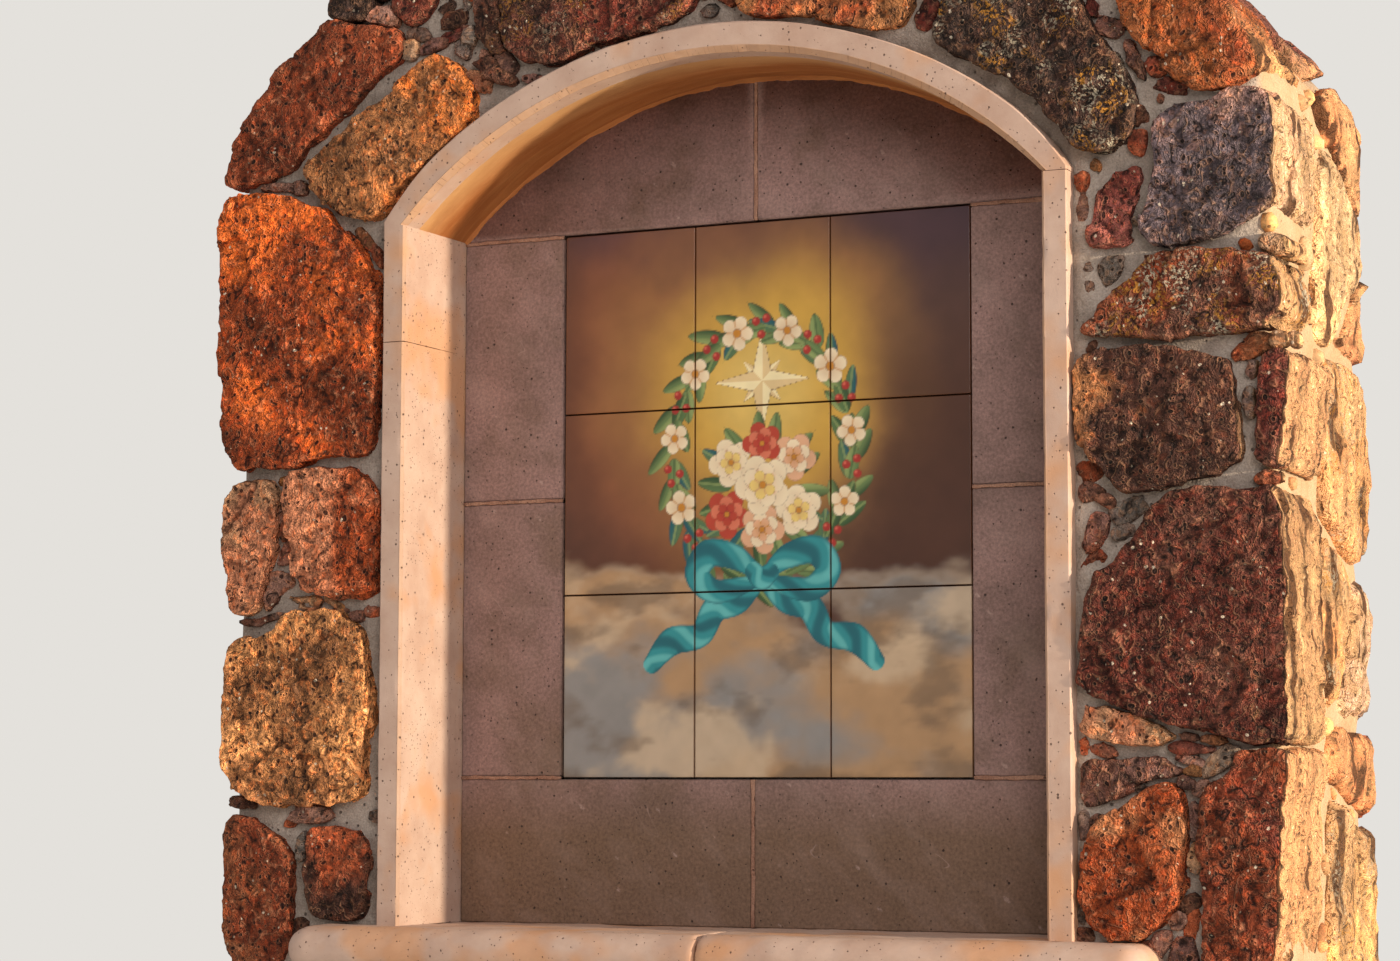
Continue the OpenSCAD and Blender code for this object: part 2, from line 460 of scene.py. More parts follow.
def makeStoneMaterial():
    # volcanic rock: two tones in patches, small flakes, pale ridges with a painted highlight, and
    # dark crevices and pits with painted shade
    s = stoneFinish
    material, tree, shader = newMaterial("rubbleStone", 0.85, 0.3)
    place = seedShifted(tree, objectVector(tree), attribute(tree, "stoneSeed"))
    swirl = vectorScale(tree, noise(tree, place, 30.0, 1.0, 0.6, "Color"), s["swirl"])
    bent = vectorMath(tree, place, swirl, "ADD")
    jitter = vectorScale(tree, noise(tree, place, 120.0, 0.0, 0.5, "Color"), s["jitter"])
    crumpled = vectorMath(tree, bent, jitter, "ADD")
    broad = noise(tree, bent, 8.0, 3.0, 0.6)
    patches = remap(tree, plus(tree, broad, attribute(tree, "patchLean")), 0.46, 0.60)
    colour = blend(tree, patches, attribute(tree, "toneMain", "Color"),
                   attribute(tree, "tonePatch", "Color"))
    shade = noise(tree, bent, 75.0, 3.0, 0.85)
    light = times(tree, remap(tree, shade, 0.3, 0.7, 0.42, 1.66),
                  remap(tree, broad, 0.36, 0.62, 0.60, 1.34))
    light = calc(tree, light, plus(tree, attribute(tree, "rugged"), 1.0), "POWER")
    colour = scaled(tree, colour, light)
    flakes = put(tree, "ShaderNodeTexVoronoi", {
        "Vector": bent, "Scale": s["flakeScale"], "Randomness": 1.0,
    })
    chance = put(tree, "ShaderNodeSeparateColor", {"Color": flakes.outputs["Color"]})
    colour = scaled(tree, colour, remap(tree, chance.outputs[0], 0.0, 1.0, 0.78, 1.2))
    warmer = tinted(tree, colour, (1.55, 1.10, 0.80, 1))
    colour = blend(tree, remap(tree, chance.outputs[1], 0.78, 0.84, 0.0, 0.6), colour, warmer)
    cloud = noise(tree, crumpled, s["curlScale"], 1.5)
    broken = noise(tree, place, 62.0, 1.0)
    # painted shade: a darker copy of the colour for the sunk strokes and hollows
    creviceShade = tinted(tree, colour, (0.17, 0.14, 0.14, 1))
    wave = calc(tree, times(tree, cloud, s["curlLines"]), 0.5, "PINGPONG")
    sunk = times(tree, remap(tree, wave, 0.5 - s["curlWidth"] * 1.3, 0.5),
                 remap(tree, broken, 0.47, 0.42))
    colour = blend(tree, sunk, colour, creviceShade)
    # painted highlight: a paler copy of the colour for the raised strokes, the lips of the pits and
    # the raised edges
    rim = blend(tree, 0.38, tinted(tree, colour, (2.2, 2.1, 2.0, 1)), s["rimLight"])
    raised = times(tree, remap(tree, wave, s["curlWidth"], 0.0), remap(tree, broken, 0.47, 0.53))
    colour = blend(tree, raised, colour, rim)
    bubbles = pitted(tree, bent, s["pitScale"], s["pitCover"], s["pitSize"])
    pores = pitted(tree, crumpled, s["poreScale"], s["poreCover"], 0.34)
    holes = larger(tree, bubbles[0], pores[0])
    lips = larger(tree, bubbles[1], pores[1])
    # painted highlight on the lips of the pits and painted shade inside them
    colour = blend(tree, times(tree, lips, s["lip"]), colour, rim)
    colour = blend(tree, holes, colour, tinted(tree, colour, (0.13, 0.10, 0.10, 1)))
    flecks = pitted(tree, bent, 112.0, remap(tree, attribute(tree, "lichen"), 0.0, 1.0, 0.32, 0.60),
                    0.30)[0]
    colour = blend(tree, times(tree, flecks, 0.85), colour, s["fleck"])
    # painted highlight on the raised edges and painted shade in the hollows, both read from the
    # relief's edge attribute
    edge = attribute(tree, "edge")
    edgeMask = times(tree, remap(tree, edge, 0.0008, 0.0034, 0.0, 0.32),
                 remap(tree, shade, 0.38, 0.55, 0.15, 1.0))
    colour = blend(tree, edgeMask, colour, rim)
    colour = blend(tree, remap(tree, edge, -0.0003, -0.0018, 0.0, 0.65), colour, creviceShade)
    # painted sunlight on the side that looks to +X, partly real bleaching: a paler, golden copy of
    # the colour, with painted shade in its cracks and pits
    sunlitColour = blend(tree, 0.60, tinted(tree, colour, (2.0, 1.95, 1.8, 1)), s["sunlitPale"])
    layers = noise(tree, stretched(tree, bent, (1.0, 1.0, 0.30)), 20.0, 2.0, 0.7)
    sunlitColour = scaled(tree, sunlitColour, remap(tree, layers, 0.38, 0.62, 0.58, 1.34))
    colour = blend(tree, attribute(tree, "sunlitBleach"), colour, sunlitColour)
    shadedCracks = times(tree, remap(tree, layers, 0.43, 0.39), attribute(tree, "sunlitBleach"))
    colour = blend(tree, times(tree, shadedCracks, 0.9), colour, s["sideShade"])
    colour = blend(tree, times(tree, bubbles[0], attribute(tree, "sunlitBleach"), 0.7), colour,
                   s["sideShade"])
    spots = mottled(tree, bent, 210.0, 0.52, 0.57, 1.0)
    zones = mottled(tree, bent, 17.0, 0.46, 0.62, 2.0)
    crustMask = times(tree, spots, zones, attribute(tree, "lichen"))
    kinds = mottled(tree, place, 22.0, 0.48, 0.52, 1.0)
    colour = blend(tree, crustMask, colour, blend(tree, kinds, s["goldLichen"], s["paleLichen"]))
    tree.links.new(colour, shader.inputs["Base Color"])
    height = plus(tree, minus(tree, raised, sunk), times(tree, shade, 3.0))
    height = minus(tree, height, times(tree, bubbles[0], 0.9))
    height = plus(tree, height, times(tree, bubbles[1], 0.35))
    height = plus(tree, height, times(tree, layers, attribute(tree, "sunlitBleach"), 6.0))
    height = minus(tree, height, times(tree, shadedCracks, 1.5))
    addBump(tree, shader, height, s["bump"])
    return material


def makeMortarMaterial(name, base, dark):
    material, tree, shader = newMaterial(name, 0.92, 0.2)
    place = objectVector(tree)
    patches = mottled(tree, place, 16.0, 0.38, 0.62, 5.0)
    colour = blend(tree, patches, base, dark)
    sand = noise(tree, place, 380.0, 3.0, 0.7)
    colour = scaled(tree, colour, remap(tree, sand, 0.25, 0.75, 0.68, 1.25))
    holes = pitted(tree, place, 110.0, 0.30, 0.30)[0]
    # painted shade in the pits
    colour = blend(tree, times(tree, holes, 0.7), colour, tone("3b302a"))
    # painted sunlight on the side that looks to +X, partly real bleaching
    colour = blend(tree, times(tree, attribute(tree, "sunlitBleach"), 0.6), colour, tone("c9a274"))
    tree.links.new(colour, shader.inputs["Base Color"])
    waves = noise(tree, place, 60.0, 4.0)
    height = plus(tree, times(tree, waves, 2.0), times(tree, sand, 0.5))
    height = plus(tree, height, times(tree, holes, -0.7))
    addBump(tree, shader, height, 0.004)
    return material


dressedFinish = {
    "face": tone("c5ab9d"), "cloud": tone("b29383"), "orangeTint": tone("c88f60"),
    "hole": tone("3f2c24"), "arris": tone("b98f6b"),
}


def makeDressedMaterial():
    material, tree, shader = newMaterial("dressedStone", 0.72, 0.35)
    place = objectVector(tree)
    clouds = mottled(tree, place, 12.0, 0.35, 0.7, 5.0)
    colour = blend(tree, clouds, dressedFinish["face"], dressedFinish["cloud"])
    # orange patches at random over the stone
    orangePatches = mottled(tree, place, 6.5, 0.50, 0.62, 3.0)
    colour = blend(tree, times(tree, orangePatches, 0.6), colour, dressedFinish["orangeTint"])
    edgeMask = attribute(tree, "arris")
    rough = mottled(tree, place, 90.0, 0.3, 0.6, 4.0)
    wornMask = times(tree, edgeMask, remap(tree, rough, 0.0, 1.0, 0.75, 1.0))
    colour = blend(tree, times(tree, wornMask, 0.7), colour, dressedFinish["arris"])
    holes = pitted(tree, place, 120.0, 0.50, 0.25)[0]
    slanted = stretched(tree, place, (1.0, 1.0, 0.25), turn=(0.0, 0.5, 0.0))
    scratches = pitted(tree, slanted, 150.0, 0.08, 0.18)[0]
    strokes = put(tree, "ShaderNodeTexNoise", {
        "W": attribute(tree, "along"), "Scale": 330.0, "Detail": 1.0,
    }, noise_dimensions="1D").outputs[0]
    strokes = times(tree, remap(tree, strokes, 0.68, 0.72), remap(tree, edgeMask, 0.7, 0.95))
    strokes = times(tree, strokes, times(tree, remap(tree, rough, 0.2, 0.8, 0.0, 0.7), clouds))
    specks = pitted(tree, place, 210.0, 0.34, 0.27)[0]
    holes = larger(tree, holes, specks)
    marks = larger(tree, larger(tree, holes, scratches), strokes)
    # painted shade in the pits, scratches and tool strokes, which the bump also sinks
    colour = blend(tree, times(tree, marks, 0.8), colour, dressedFinish["hole"])
    tree.links.new(colour, shader.inputs["Base Color"])
    grain = noise(tree, place, 500.0, 3.0, 0.6)
    height = plus(tree, times(tree, marks, -1.0), times(tree, grain, 0.25))
    height = plus(tree, height, times(tree, edgeMask, rough, 0.35))
    addBump(tree, shader, height, 0.0010)
    return material


def makePlasterMaterial():
    material, tree, shader = newMaterial("trowelledPlaster", 0.75, 0.3)
    place = objectVector(tree)
    along = stretched(tree, place, (0.35, 1.0, 0.5))
    clouds = mottled(tree, along, 16.0, 0.3, 0.7, 5.0)
    colour = blend(tree, clouds, tone("a86838"), tone("8f552a"))
    streaks = mottled(tree, stretched(tree, place, (0.12, 1.0, 0.2)), 70.0, 0.45, 0.75, 3.0)
    colour = blend(tree, times(tree, streaks, 0.45), colour, tone("c48850"))
    # painted light: the soffit turns paler towards the front, where light reaches under the arch,
    # and the darker brown behind stands partly for the shade deeper in
    depth = put(tree, "ShaderNodeSeparateXYZ", {0: place}).outputs[1]
    litFront = remap(tree, plus(tree, depth, times(tree, clouds, 0.03)), -0.115, -0.185)
    colour = blend(tree, litFront, colour, tone("c99d6c"))
    tree.links.new(colour, shader.inputs["Base Color"])
    grain = noise(tree, place, 260.0, 3.0, 0.6)
    height = plus(tree, times(tree, streaks, 0.5), times(tree, grain, 0.3))
    addBump(tree, shader, height, 0.0012)
    return material


slabFinish = {
    "face": tone("967873"), "cloud": tone("765f59"), "warm": tone("705843"),
    "hole": tone("2a1f1e"), "lime": tone("b89f97"),
}


def makeSlabMaterial():
    material, tree, shader = newMaterial("backSlab", 0.62, 0.35)
    place = objectVector(tree)
    clouds = mottled(tree, place, 9.0, 0.35, 0.68, 6.0)
    colour = blend(tree, clouds, slabFinish["face"], slabFinish["cloud"])
    warm = mottled(tree, place, 4.5, 0.5, 0.7, 4.0)
    low = put(tree, "ShaderNodeSeparateXYZ", {0: place}).outputs[2]
    low = remap(tree, low, sillTop + 0.20, sillTop + 0.12, 0.0, 0.8)
    warm = larger(tree, times(tree, warm, 0.5), low)
    colour = blend(tree, warm, colour, slabFinish["warm"])
    fine = noise(tree, place, 240.0, 3.0, 0.65)
    colour = scaled(tree, colour, remap(tree, fine, 0.3, 0.7, 0.68, 1.30))
    slanted = stretched(tree, place, (2.2, 1.0, 1.0), turn=(0.0, 0.75, 0.0),
                        vector_type="TEXTURE")
    smears = mottled(tree, slanted, 16.0, 0.50, 0.72, 4.0)
    colour = blend(tree, times(tree, smears, 0.2), colour, slabFinish["lime"])
    scratches = useGroup(tree, curls, {
        "Vector": slanted, "Scale": 14.0, "Lines": 3.0, "Width": 0.018, "Cover": 0.25,
    })[0]
    colour = blend(tree, times(tree, scratches, 0.4), colour, slabFinish["lime"])
    flecks = pitted(tree, slanted, 75.0, 0.22, 0.26)[0]
    flecks = times(tree, flecks, remap(tree, fine, 0.35, 0.65))
    colour = blend(tree, times(tree, flecks, 0.7), colour, slabFinish["lime"])
    holes = pitted(tree, place, 100.0, 0.48, 0.22)[0]
    specks = pitted(tree, place, 190.0, 0.36, 0.25)[0]
    holes = larger(tree, holes, specks)
    # painted shade in the pits
    colour = blend(tree, times(tree, holes, 0.9), colour, slabFinish["hole"])
    tree.links.new(colour, shader.inputs["Base Color"])
    height = plus(tree, times(tree, holes, -1.0), times(tree, fine, 0.2))
    addBump(tree, shader, height, 0.0012)
    return material


def makeTileMaterial():
    material, tree, shader = newMaterial("glazedTile", 0.22, 0.5)
    place = objectVector(tree)
    colour = attribute(tree, "painting", "Color")
    tree.links.new(colour, shader.inputs["Base Color"])
    waves = noise(tree, place, 24.0, 2.0)
    addBump(tree, shader, waves, 0.0010, 0.5)
    return material


rubbleStone = makeStoneMaterial()
wallMortar = makeMortarMaterial("wallMortar", tone("b5a89e"), tone("978a80"))
pointing = makeMortarMaterial("pointing", tone("b38c78"), tone("9a7361"))
tileGrout = makeMortarMaterial("tileGrout", tone("54392b"), tone("3d2a21"))
dressedStone = makeDressedMaterial()
trowelledPlaster = makePlasterMaterial()
backSlab = makeSlabMaterial()
glazedTile = makeTileMaterial()
print("materials made")


# the masonry's own outline, as in the solids

bodySet = {"rise": 0.380, "shoulder": 0.120, "archRise": 0.195, "archFace": 0.039}
topRadius = (halfWidth ** 2 + bodySet["rise"] ** 2) / (2 * bodySet["rise"])
topCentre = topZ - topRadius
shoulderX = halfWidth - bodySet["shoulder"]
shoulderZ = topCentre + math.sqrt((topRadius - bodySet["shoulder"]) ** 2 - shoulderX ** 2)
shoulderTurn = math.atan2(shoulderZ - topCentre, shoulderX)
innerRadius = (innerX ** 2 + bodySet["archRise"] ** 2) / (2 * bodySet["archRise"])
outerRadius = innerRadius + bodySet["archFace"]
archCentre = springZ + bodySet["archRise"] - innerRadius


def bodyOutline(inset, steps=(4, 24)):
    # front view of the masonry above the ground, from the right foot round to the left
    points = [(halfWidth - inset, 0.0)]
    for i in range(steps[0] + 1):
        a = shoulderTurn * i / steps[0]
        r = bodySet["shoulder"] - inset
        points.append((shoulderX + r * math.cos(a), shoulderZ + r * math.sin(a)))
    for i in range(1, steps[1]):
        a = shoulderTurn + (math.pi - 2 * shoulderTurn) * i / steps[1]
        r = topRadius - inset
        points.append((r * math.cos(a), topCentre + r * math.sin(a)))
    for i in range(steps[0] + 1):
        a = math.pi - shoulderTurn + shoulderTurn * i / steps[0]
        r = bodySet["shoulder"] - inset
        points.append((-shoulderX + r * math.cos(a), shoulderZ + r * math.sin(a)))
    points.append((-(halfWidth - inset), 0.0))
    return points


def bodyDepth(points):
    # how deep each point lies under the nearest outer face of the masonry
    x, y, z = np.abs(points[:, 0]), points[:, 1], points[:, 2]
    side = halfWidth - x
    top = topRadius - np.hypot(x, z - topCentre)
    edge = np.minimum(side, np.where(z > topCentre, top, 9.0))
    dx, dz = x - shoulderX, z - shoulderZ
    angle = np.arctan2(dz, dx)
    turning = (dx > 0) & (dz > 0) & (angle < shoulderTurn)
    edge = np.where(turning, bodySet["shoulder"] - np.hypot(dx, dz), edge)
    return np.minimum(edge, np.minimum(y - frontY, backY - y))


# stones laid one by one from the photograph

# tones, and how often the filled-in rubble takes each on most sides and on the right one
toneTable = {
    "rust": ("8f4629", 6, 3), "redOrange": ("a54b23", 5, 3), "deepRed": ("73332a", 7, 2),
    "darkBrown": ("54342a", 6, 2), "mauve": ("78554d", 5, 2), "tanOrange": ("b87a4c", 3, 6),
    "brightOrange": ("c06c30", 1, 3), "pinkOrange": ("aa6e51", 3, 6), "ochre": ("8e6038", 4, 4),
    "gold": ("b08048", 2, 6), "orangeBrown": ("8e5a3a", 6, 5), "greyViolet": ("6c5d62", 4, 1),
    "darkGrey": ("524540", 5, 1), "tan": ("bf9470", 2, 8), "palePink": ("a47b6c", 3, 4),
    "coolGrey": ("7d736b", 5, 2), "umber": ("623e31", 7, 3), "black": ("372823", 1, 0),
    "flame": ("c05c24", 1, 1), "paleTan": ("cdaa8e", 1, 4), "ochreTan": ("c08553", 2, 5),
    "wine": ("5c291f", 2, 1), "darkRust": ("843e23", 3, 1), "clay": ("945229", 2, 3),
    "dustyRed": ("76413a", 2, 2),
}
stoneTones = {name: tone(row[0]) for name, row in toneTable.items()}
handStones = {
    "redShoulder": {
        "tones": ("darkRust", "rust"), "rugged": 0.15, "lean": (80, 0.05, 0.00), "reach": 0.15,
        "proud": 0.006,
        "outline": (
            (327, 20), (359, 22), (378, 28), (394, 28), (403, 41), (402, 60), (381, 76),
            (362, 91), (352, 107), (330, 125), (303, 150), (294, 171), (270, 179), (237, 188),
            (223, 191), (232, 147), (257, 101), (286, 62), (314, 34),
        ),
    },
    "tanShoulder": {
        "tones": ("tanOrange", "brightOrange"), "rugged": 0.5, "lean": (30, 0.08, -0.03),
        "reach": 0.07, "proud": 0.010,
        "outline": (
            (438, 53), (456, 63), (466, 73), (477, 95), (475, 113), (468, 129), (444, 148),
            (402, 187), (379, 221), (344, 221), (312, 192), (304, 167), (333, 138), (348, 126),
            (358, 111), (374, 106), (384, 100), (399, 85), (418, 66),
        ),
    },
    "bigRed": {
        "tones": ("redOrange", "flame"), "rugged": 0.55, "lean": (55, 0.07, -0.03), "reach": 0.16,
        "proud": 0.010,
        "outline": (
            (232, 194), (255, 192), (279, 194), (301, 201), (314, 203), (329, 210), (342, 226),
            (362, 252), (370, 262), (379, 290), (378, 400), (374, 455), (354, 459), (330, 457),
            (312, 465), (288, 469), (253, 467), (244, 473), (232, 463), (223, 440), (221, 330),
            (222, 230),
        ),
    },
    "narrowPink": {
        "tones": ("tan", "pinkOrange"), "reach": 0.13, "proud": 0.004,
        "outline": (
            (237, 477), (268, 480), (274, 493), (275, 543), (266, 571), (258, 606), (251, 616),
            (227, 615), (223, 569), (221, 526), (226, 490),
        ),
    },
    "redHeart": {
        "tones": ("redOrange", "pinkOrange"), "rugged": 0.5, "lean": (160, 0.12, -0.01),
        "reach": 0.07, "proud": 0.008,
        "outline": (
            (288, 471), (314, 467), (338, 466), (361, 467), (368, 478), (377, 503), (378, 573),
            (372, 598), (338, 597), (308, 592), (292, 574), (286, 533), (284, 495),
        ),
    },
    "ochreLeft": {
        "tones": ("tanOrange", "ochreTan"), "rugged": 0.9, "lean": (60, 0.06, 0.0), "reach": 0.18,
        "proud": 0.010,
        "outline": (
            (231, 641), (253, 638), (270, 631), (281, 617), (290, 610), (321, 607), (341, 608),
            (349, 622), (364, 624), (370, 669), (371, 703), (368, 750), (365, 796), (344, 807),
            (291, 805), (275, 809), (249, 800), (224, 779), (220, 750), (224, 690),
        ),
    },
    "leftFoot": {
        "tones": ("darkRust", "orangeBrown"), "reach": 0.15, "proud": 0.006,
        "outline": (
            (226, 814), (245, 814), (261, 828), (286, 846), (291, 865), (289, 968), (222, 968),
            (222, 865),
        ),
    },
    "leftSeat": {
        "tones": ("darkBrown", "rust"), "reach": 0.07, "proud": 0.004,
        "outline": (
            (307, 828), (323, 823), (362, 830), (369, 853), (367, 899), (358, 920), (312, 922),
            (302, 876),
        ),
    },
    "crownDarkLeft": {
        "tones": ("black", "black"), "reach": 0.09, "proud": 0.004,
        "outline": ((325, 5), (342, -9), (369, -17), (376, 6), (360, 21), (330, 20)),
    },
    "crownPinkWedge": {
        "tones": ("pinkOrange", "palePink"), "reach": 0.06, "proud": 0.000,
        "outline": ((359, 22), (370, 10), (378, 4), (390, 4), (394, 12), (401, 24), (378, 25)),
    },
    "crownRed": {
        "tones": ("wine", "wine"), "reach": 0.08, "proud": 0.003,
        "outline": ((388, -28), (432, -24), (434, 2), (425, 15), (413, 25), (404, 24), (395, 10)),
    },
    "crownLichened": {
        "tones": ("umber", "mauve"), "reach": 0.08, "proud": 0.005, "lichen": 0.5,
        "outline": (
            (476, -34), (498, -30), (500, 6), (498, 28), (510, 48), (502, 55), (485, 51),
            (474, 37), (473, 18),
        ),
    },
    "crownWide": {
        "tones": ("darkBrown", "wine"), "reach": 0.09, "proud": 0.012, "lichen": 0.45,
        "outline": (
            (503, -40), (560, -58), (640, -62), (698, -48), (697, 0), (670, 23), (598, 47),
            (560, 66), (520, 62), (505, 46), (500, 10),
        ),
    },
    "crownOrange": {
        "tones": ("tanOrange", "rust"), "reach": 0.08, "proud": 0.008,
        "outline": (
            (739, -40), (800, -52), (880, -46), (912, -26), (914, 9), (901, 31), (845, 27),
            (807, 16), (751, 17), (736, 2),
        ),
    },
    "darkFlecked": {
        "tones": ("darkBrown", "black"), "lean": (0, 0.0, 0.09), "reach": 0.09,
        "proud": 0.012, "lichen": 0.9,
        "outline": (
            (950, -30), (1000, -44), (1060, -36), (1079, 0), (1100, 36), (1122, 60), (1139, 96),
            (1130, 137), (1105, 155), (1071, 148), (1061, 129), (1032, 100), (1000, 77),
            (979, 66), (943, 52), (930, 39), (932, 27), (945, 0),
        ),
    },
    "orangeCorner": {
        "tones": ("clay", "rust"), "lean": (20, 0.05, -0.03), "reach": 0.17, "proud": 0.012,
        "outline": (
            (1114, 0), (1120, -34), (1170, -44), (1213, -20), (1231, 13), (1254, 40), (1265, 62),
            (1233, 85), (1195, 89), (1162, 66), (1130, 32),
        ),
    },
    "violetCorner": {
        "tones": ("greyViolet", "palePink"), "rugged": 0.5, "lean": (62, 0.10, -0.06),
        "reach": 0.19,
        "proud": 0.008,
        "outline": (
            (1152, 118), (1172, 102), (1208, 98), (1239, 84), (1272, 86), (1275, 131),
            (1274, 192), (1259, 212), (1229, 231), (1194, 244), (1156, 246), (1144, 239),
            (1137, 228), (1149, 190), (1156, 160), (1146, 140),
        ),
    },
    "smallRed": {
        "tones": ("deepRed", "dustyRed"), "reach": 0.06, "proud": 0.002,
        "outline": (
            (1107, 169), (1123, 167), (1139, 158), (1144, 173), (1139, 190), (1131, 222),
            (1129, 241), (1105, 245), (1088, 248), (1088, 231), (1095, 205), (1100, 187),
        ),
    },
    "darkLichened": {
        "tones": ("darkRust", "darkBrown"), "lean": (-35, 0.08, 0.06), "reach": 0.14,
        "proud": 0.012, "lichen": 0.9,
        "outline": (
            (1156, 250), (1185, 249), (1245, 251), (1270, 256), (1284, 273), (1286, 308),
            (1266, 326), (1229, 333), (1159, 339), (1137, 339), (1095, 335), (1077, 332),
            (1097, 316), (1112, 289), (1124, 288), (1142, 263),
        ),
    },
    "darkBrownRight": {
        "tones": ("darkBrown", "tanOrange"), "lean": (222, 0.11, -0.07), "reach": 0.08,
        "proud": 0.010,
        "outline": (
            (1073, 359), (1108, 348), (1134, 343), (1172, 346), (1194, 353), (1223, 357),
            (1231, 365), (1235, 380), (1236, 404), (1243, 434), (1242, 461), (1223, 472),
            (1178, 487), (1130, 496), (1112, 489), (1099, 467), (1078, 450), (1074, 404),
        ),
    },
    "narrowRed": {
        "tones": ("deepRed", "darkBrown"), "reach": 0.20, "proud": 0.006,
        "outline": (
            (1260, 348), (1291, 347), (1291, 376), (1284, 434), (1282, 469), (1256, 461),
            (1252, 434), (1258, 385),
        ),
    },
    "bigCorner": {
        "tones": ("wine", "darkBrown"), "lean": (60, 0.02, -0.01), "reach": 0.16, "proud": 0.014,
        "outline": (
            (1170, 494), (1198, 487), (1241, 488), (1281, 487), (1288, 526), (1291, 695),
            (1296, 741), (1256, 743), (1219, 735), (1176, 727), (1140, 716), (1109, 704),
            (1079, 692), (1077, 664), (1084, 618), (1096, 572), (1121, 557), (1134, 535),
            (1152, 511),
        ),
    },
    "tanWedge": {
        "tones": ("tan", "pinkOrange"), "reach": 0.06, "proud": 0.004,
        "outline": (
            (1077, 720), (1088, 704), (1109, 705), (1148, 720), (1176, 736), (1158, 745),
            (1131, 749), (1103, 743), (1080, 735),
        ),
    },
    "mauveWedge": {
        "tones": ("mauve", "darkBrown"), "reach": 0.06, "proud": 0.002,
        "outline": (
            (1076, 763), (1121, 755), (1152, 753), (1174, 762), (1187, 773), (1170, 777),
            (1146, 781), (1129, 791), (1101, 804), (1084, 811), (1076, 798), (1079, 783),
        ),
    },
    "orangeRight": {
        "tones": ("redOrange", "orangeBrown"), "reach": 0.08, "proud": 0.010,
        "outline": (
            (1148, 783), (1177, 782), (1186, 796), (1187, 845), (1181, 896), (1163, 925),
            (1138, 943), (1111, 941), (1088, 929), (1077, 892), (1081, 865), (1088, 832),
            (1101, 817), (1120, 810), (1132, 795),
        ),
    },
    "rightFoot": {
        "tones": ("darkRust", "wine"), "reach": 0.18, "proud": 0.012,
        "outline": (
            (1236, 752), (1260, 745), (1295, 748), (1285, 807), (1283, 985), (1204, 988),
            (1201, 900), (1201, 845), (1199, 795), (1211, 781), (1230, 771),
        ),
    },
}
cornerChinks = {
    "dogTooth": {
        "tones": ("palePink", "umber"), "reach": 0.06, "proud": -0.004,
        "outline": (
            (270, 568), (290, 571), (292, 581), (281, 593), (268, 608), (259, 613), (259, 599),
            (265, 583),
        ),
    },
    "greyWedge": {
        "tones": ("mauve", "coolGrey"), "reach": 0.06, "proud": -0.004,
        "outline": ((447, 46), (462, 35), (472, 20), (471, 48), (463, 64), (454, 55)),
    },
    "blackWedge": {
        "tones": ("umber", "darkBrown"), "reach": 0.06, "proud": 0.0,
        "outline": (
            (466, 63), (477, 55), (488, 53), (506, 69), (518, 82), (512, 87), (494, 82),
            (480, 75),
        ),
    },
    "redSlip": {
        "tones": ("mauve", "deepRed"), "reach": 0.06, "proud": -0.003,
        "outline": ((1121, 34), (1128, 38), (1142, 60), (1147, 78), (1139, 82), (1126, 62)),
    },
    "pinkTooth": {
        "tones": ("rust", "mauve"), "reach": 0.06, "proud": -0.002,
        "outline": (
            (1080, 541), (1084, 520), (1094, 507), (1106, 515), (1107, 530), (1104, 545),
            (1092, 552), (1084, 560),
        ),
    },
    "greyCorner": {
        "tones": ("tan", "coolGrey"), "reach": 0.10, "proud": 0.004,
        "outline": ((1256, 241), (1262, 231), (1281, 230), (1292, 243), (1286, 254), (1267, 254)),
    },
    "greyFlat": {
        "tones": ("coolGrey", "umber"), "reach": 0.05, "proud": -0.006,
        "outline": ((1077, 262), (1088, 258), (1094, 270), (1094, 288), (1086, 300), (1078, 292)),
    },
    "mauveFlat": {
        "tones": ("coolGrey", "palePink"), "reach": 0.05, "proud": -0.006,
        "outline": ((1096, 258), (1118, 252), (1120, 262), (1114, 280), (1104, 288), (1096, 280)),
    },
    "wedgeUnderShoulder": {
        "tones": ("palePink", "orangeBrown"), "reach": 0.06, "proud": -0.004,
        "outline": (
            (252, 191), (262, 182), (280, 181), (298, 176), (307, 188), (300, 200), (278, 190),
        ),
    },
    "footRubble": {
        "tones": ("mauve", "rust"), "reach": 0.06, "proud": 0.0,
        "outline": ((1163, 960), (1170, 938), (1184, 932), (1198, 940), (1200, 985), (1160, 988)),
    },
}
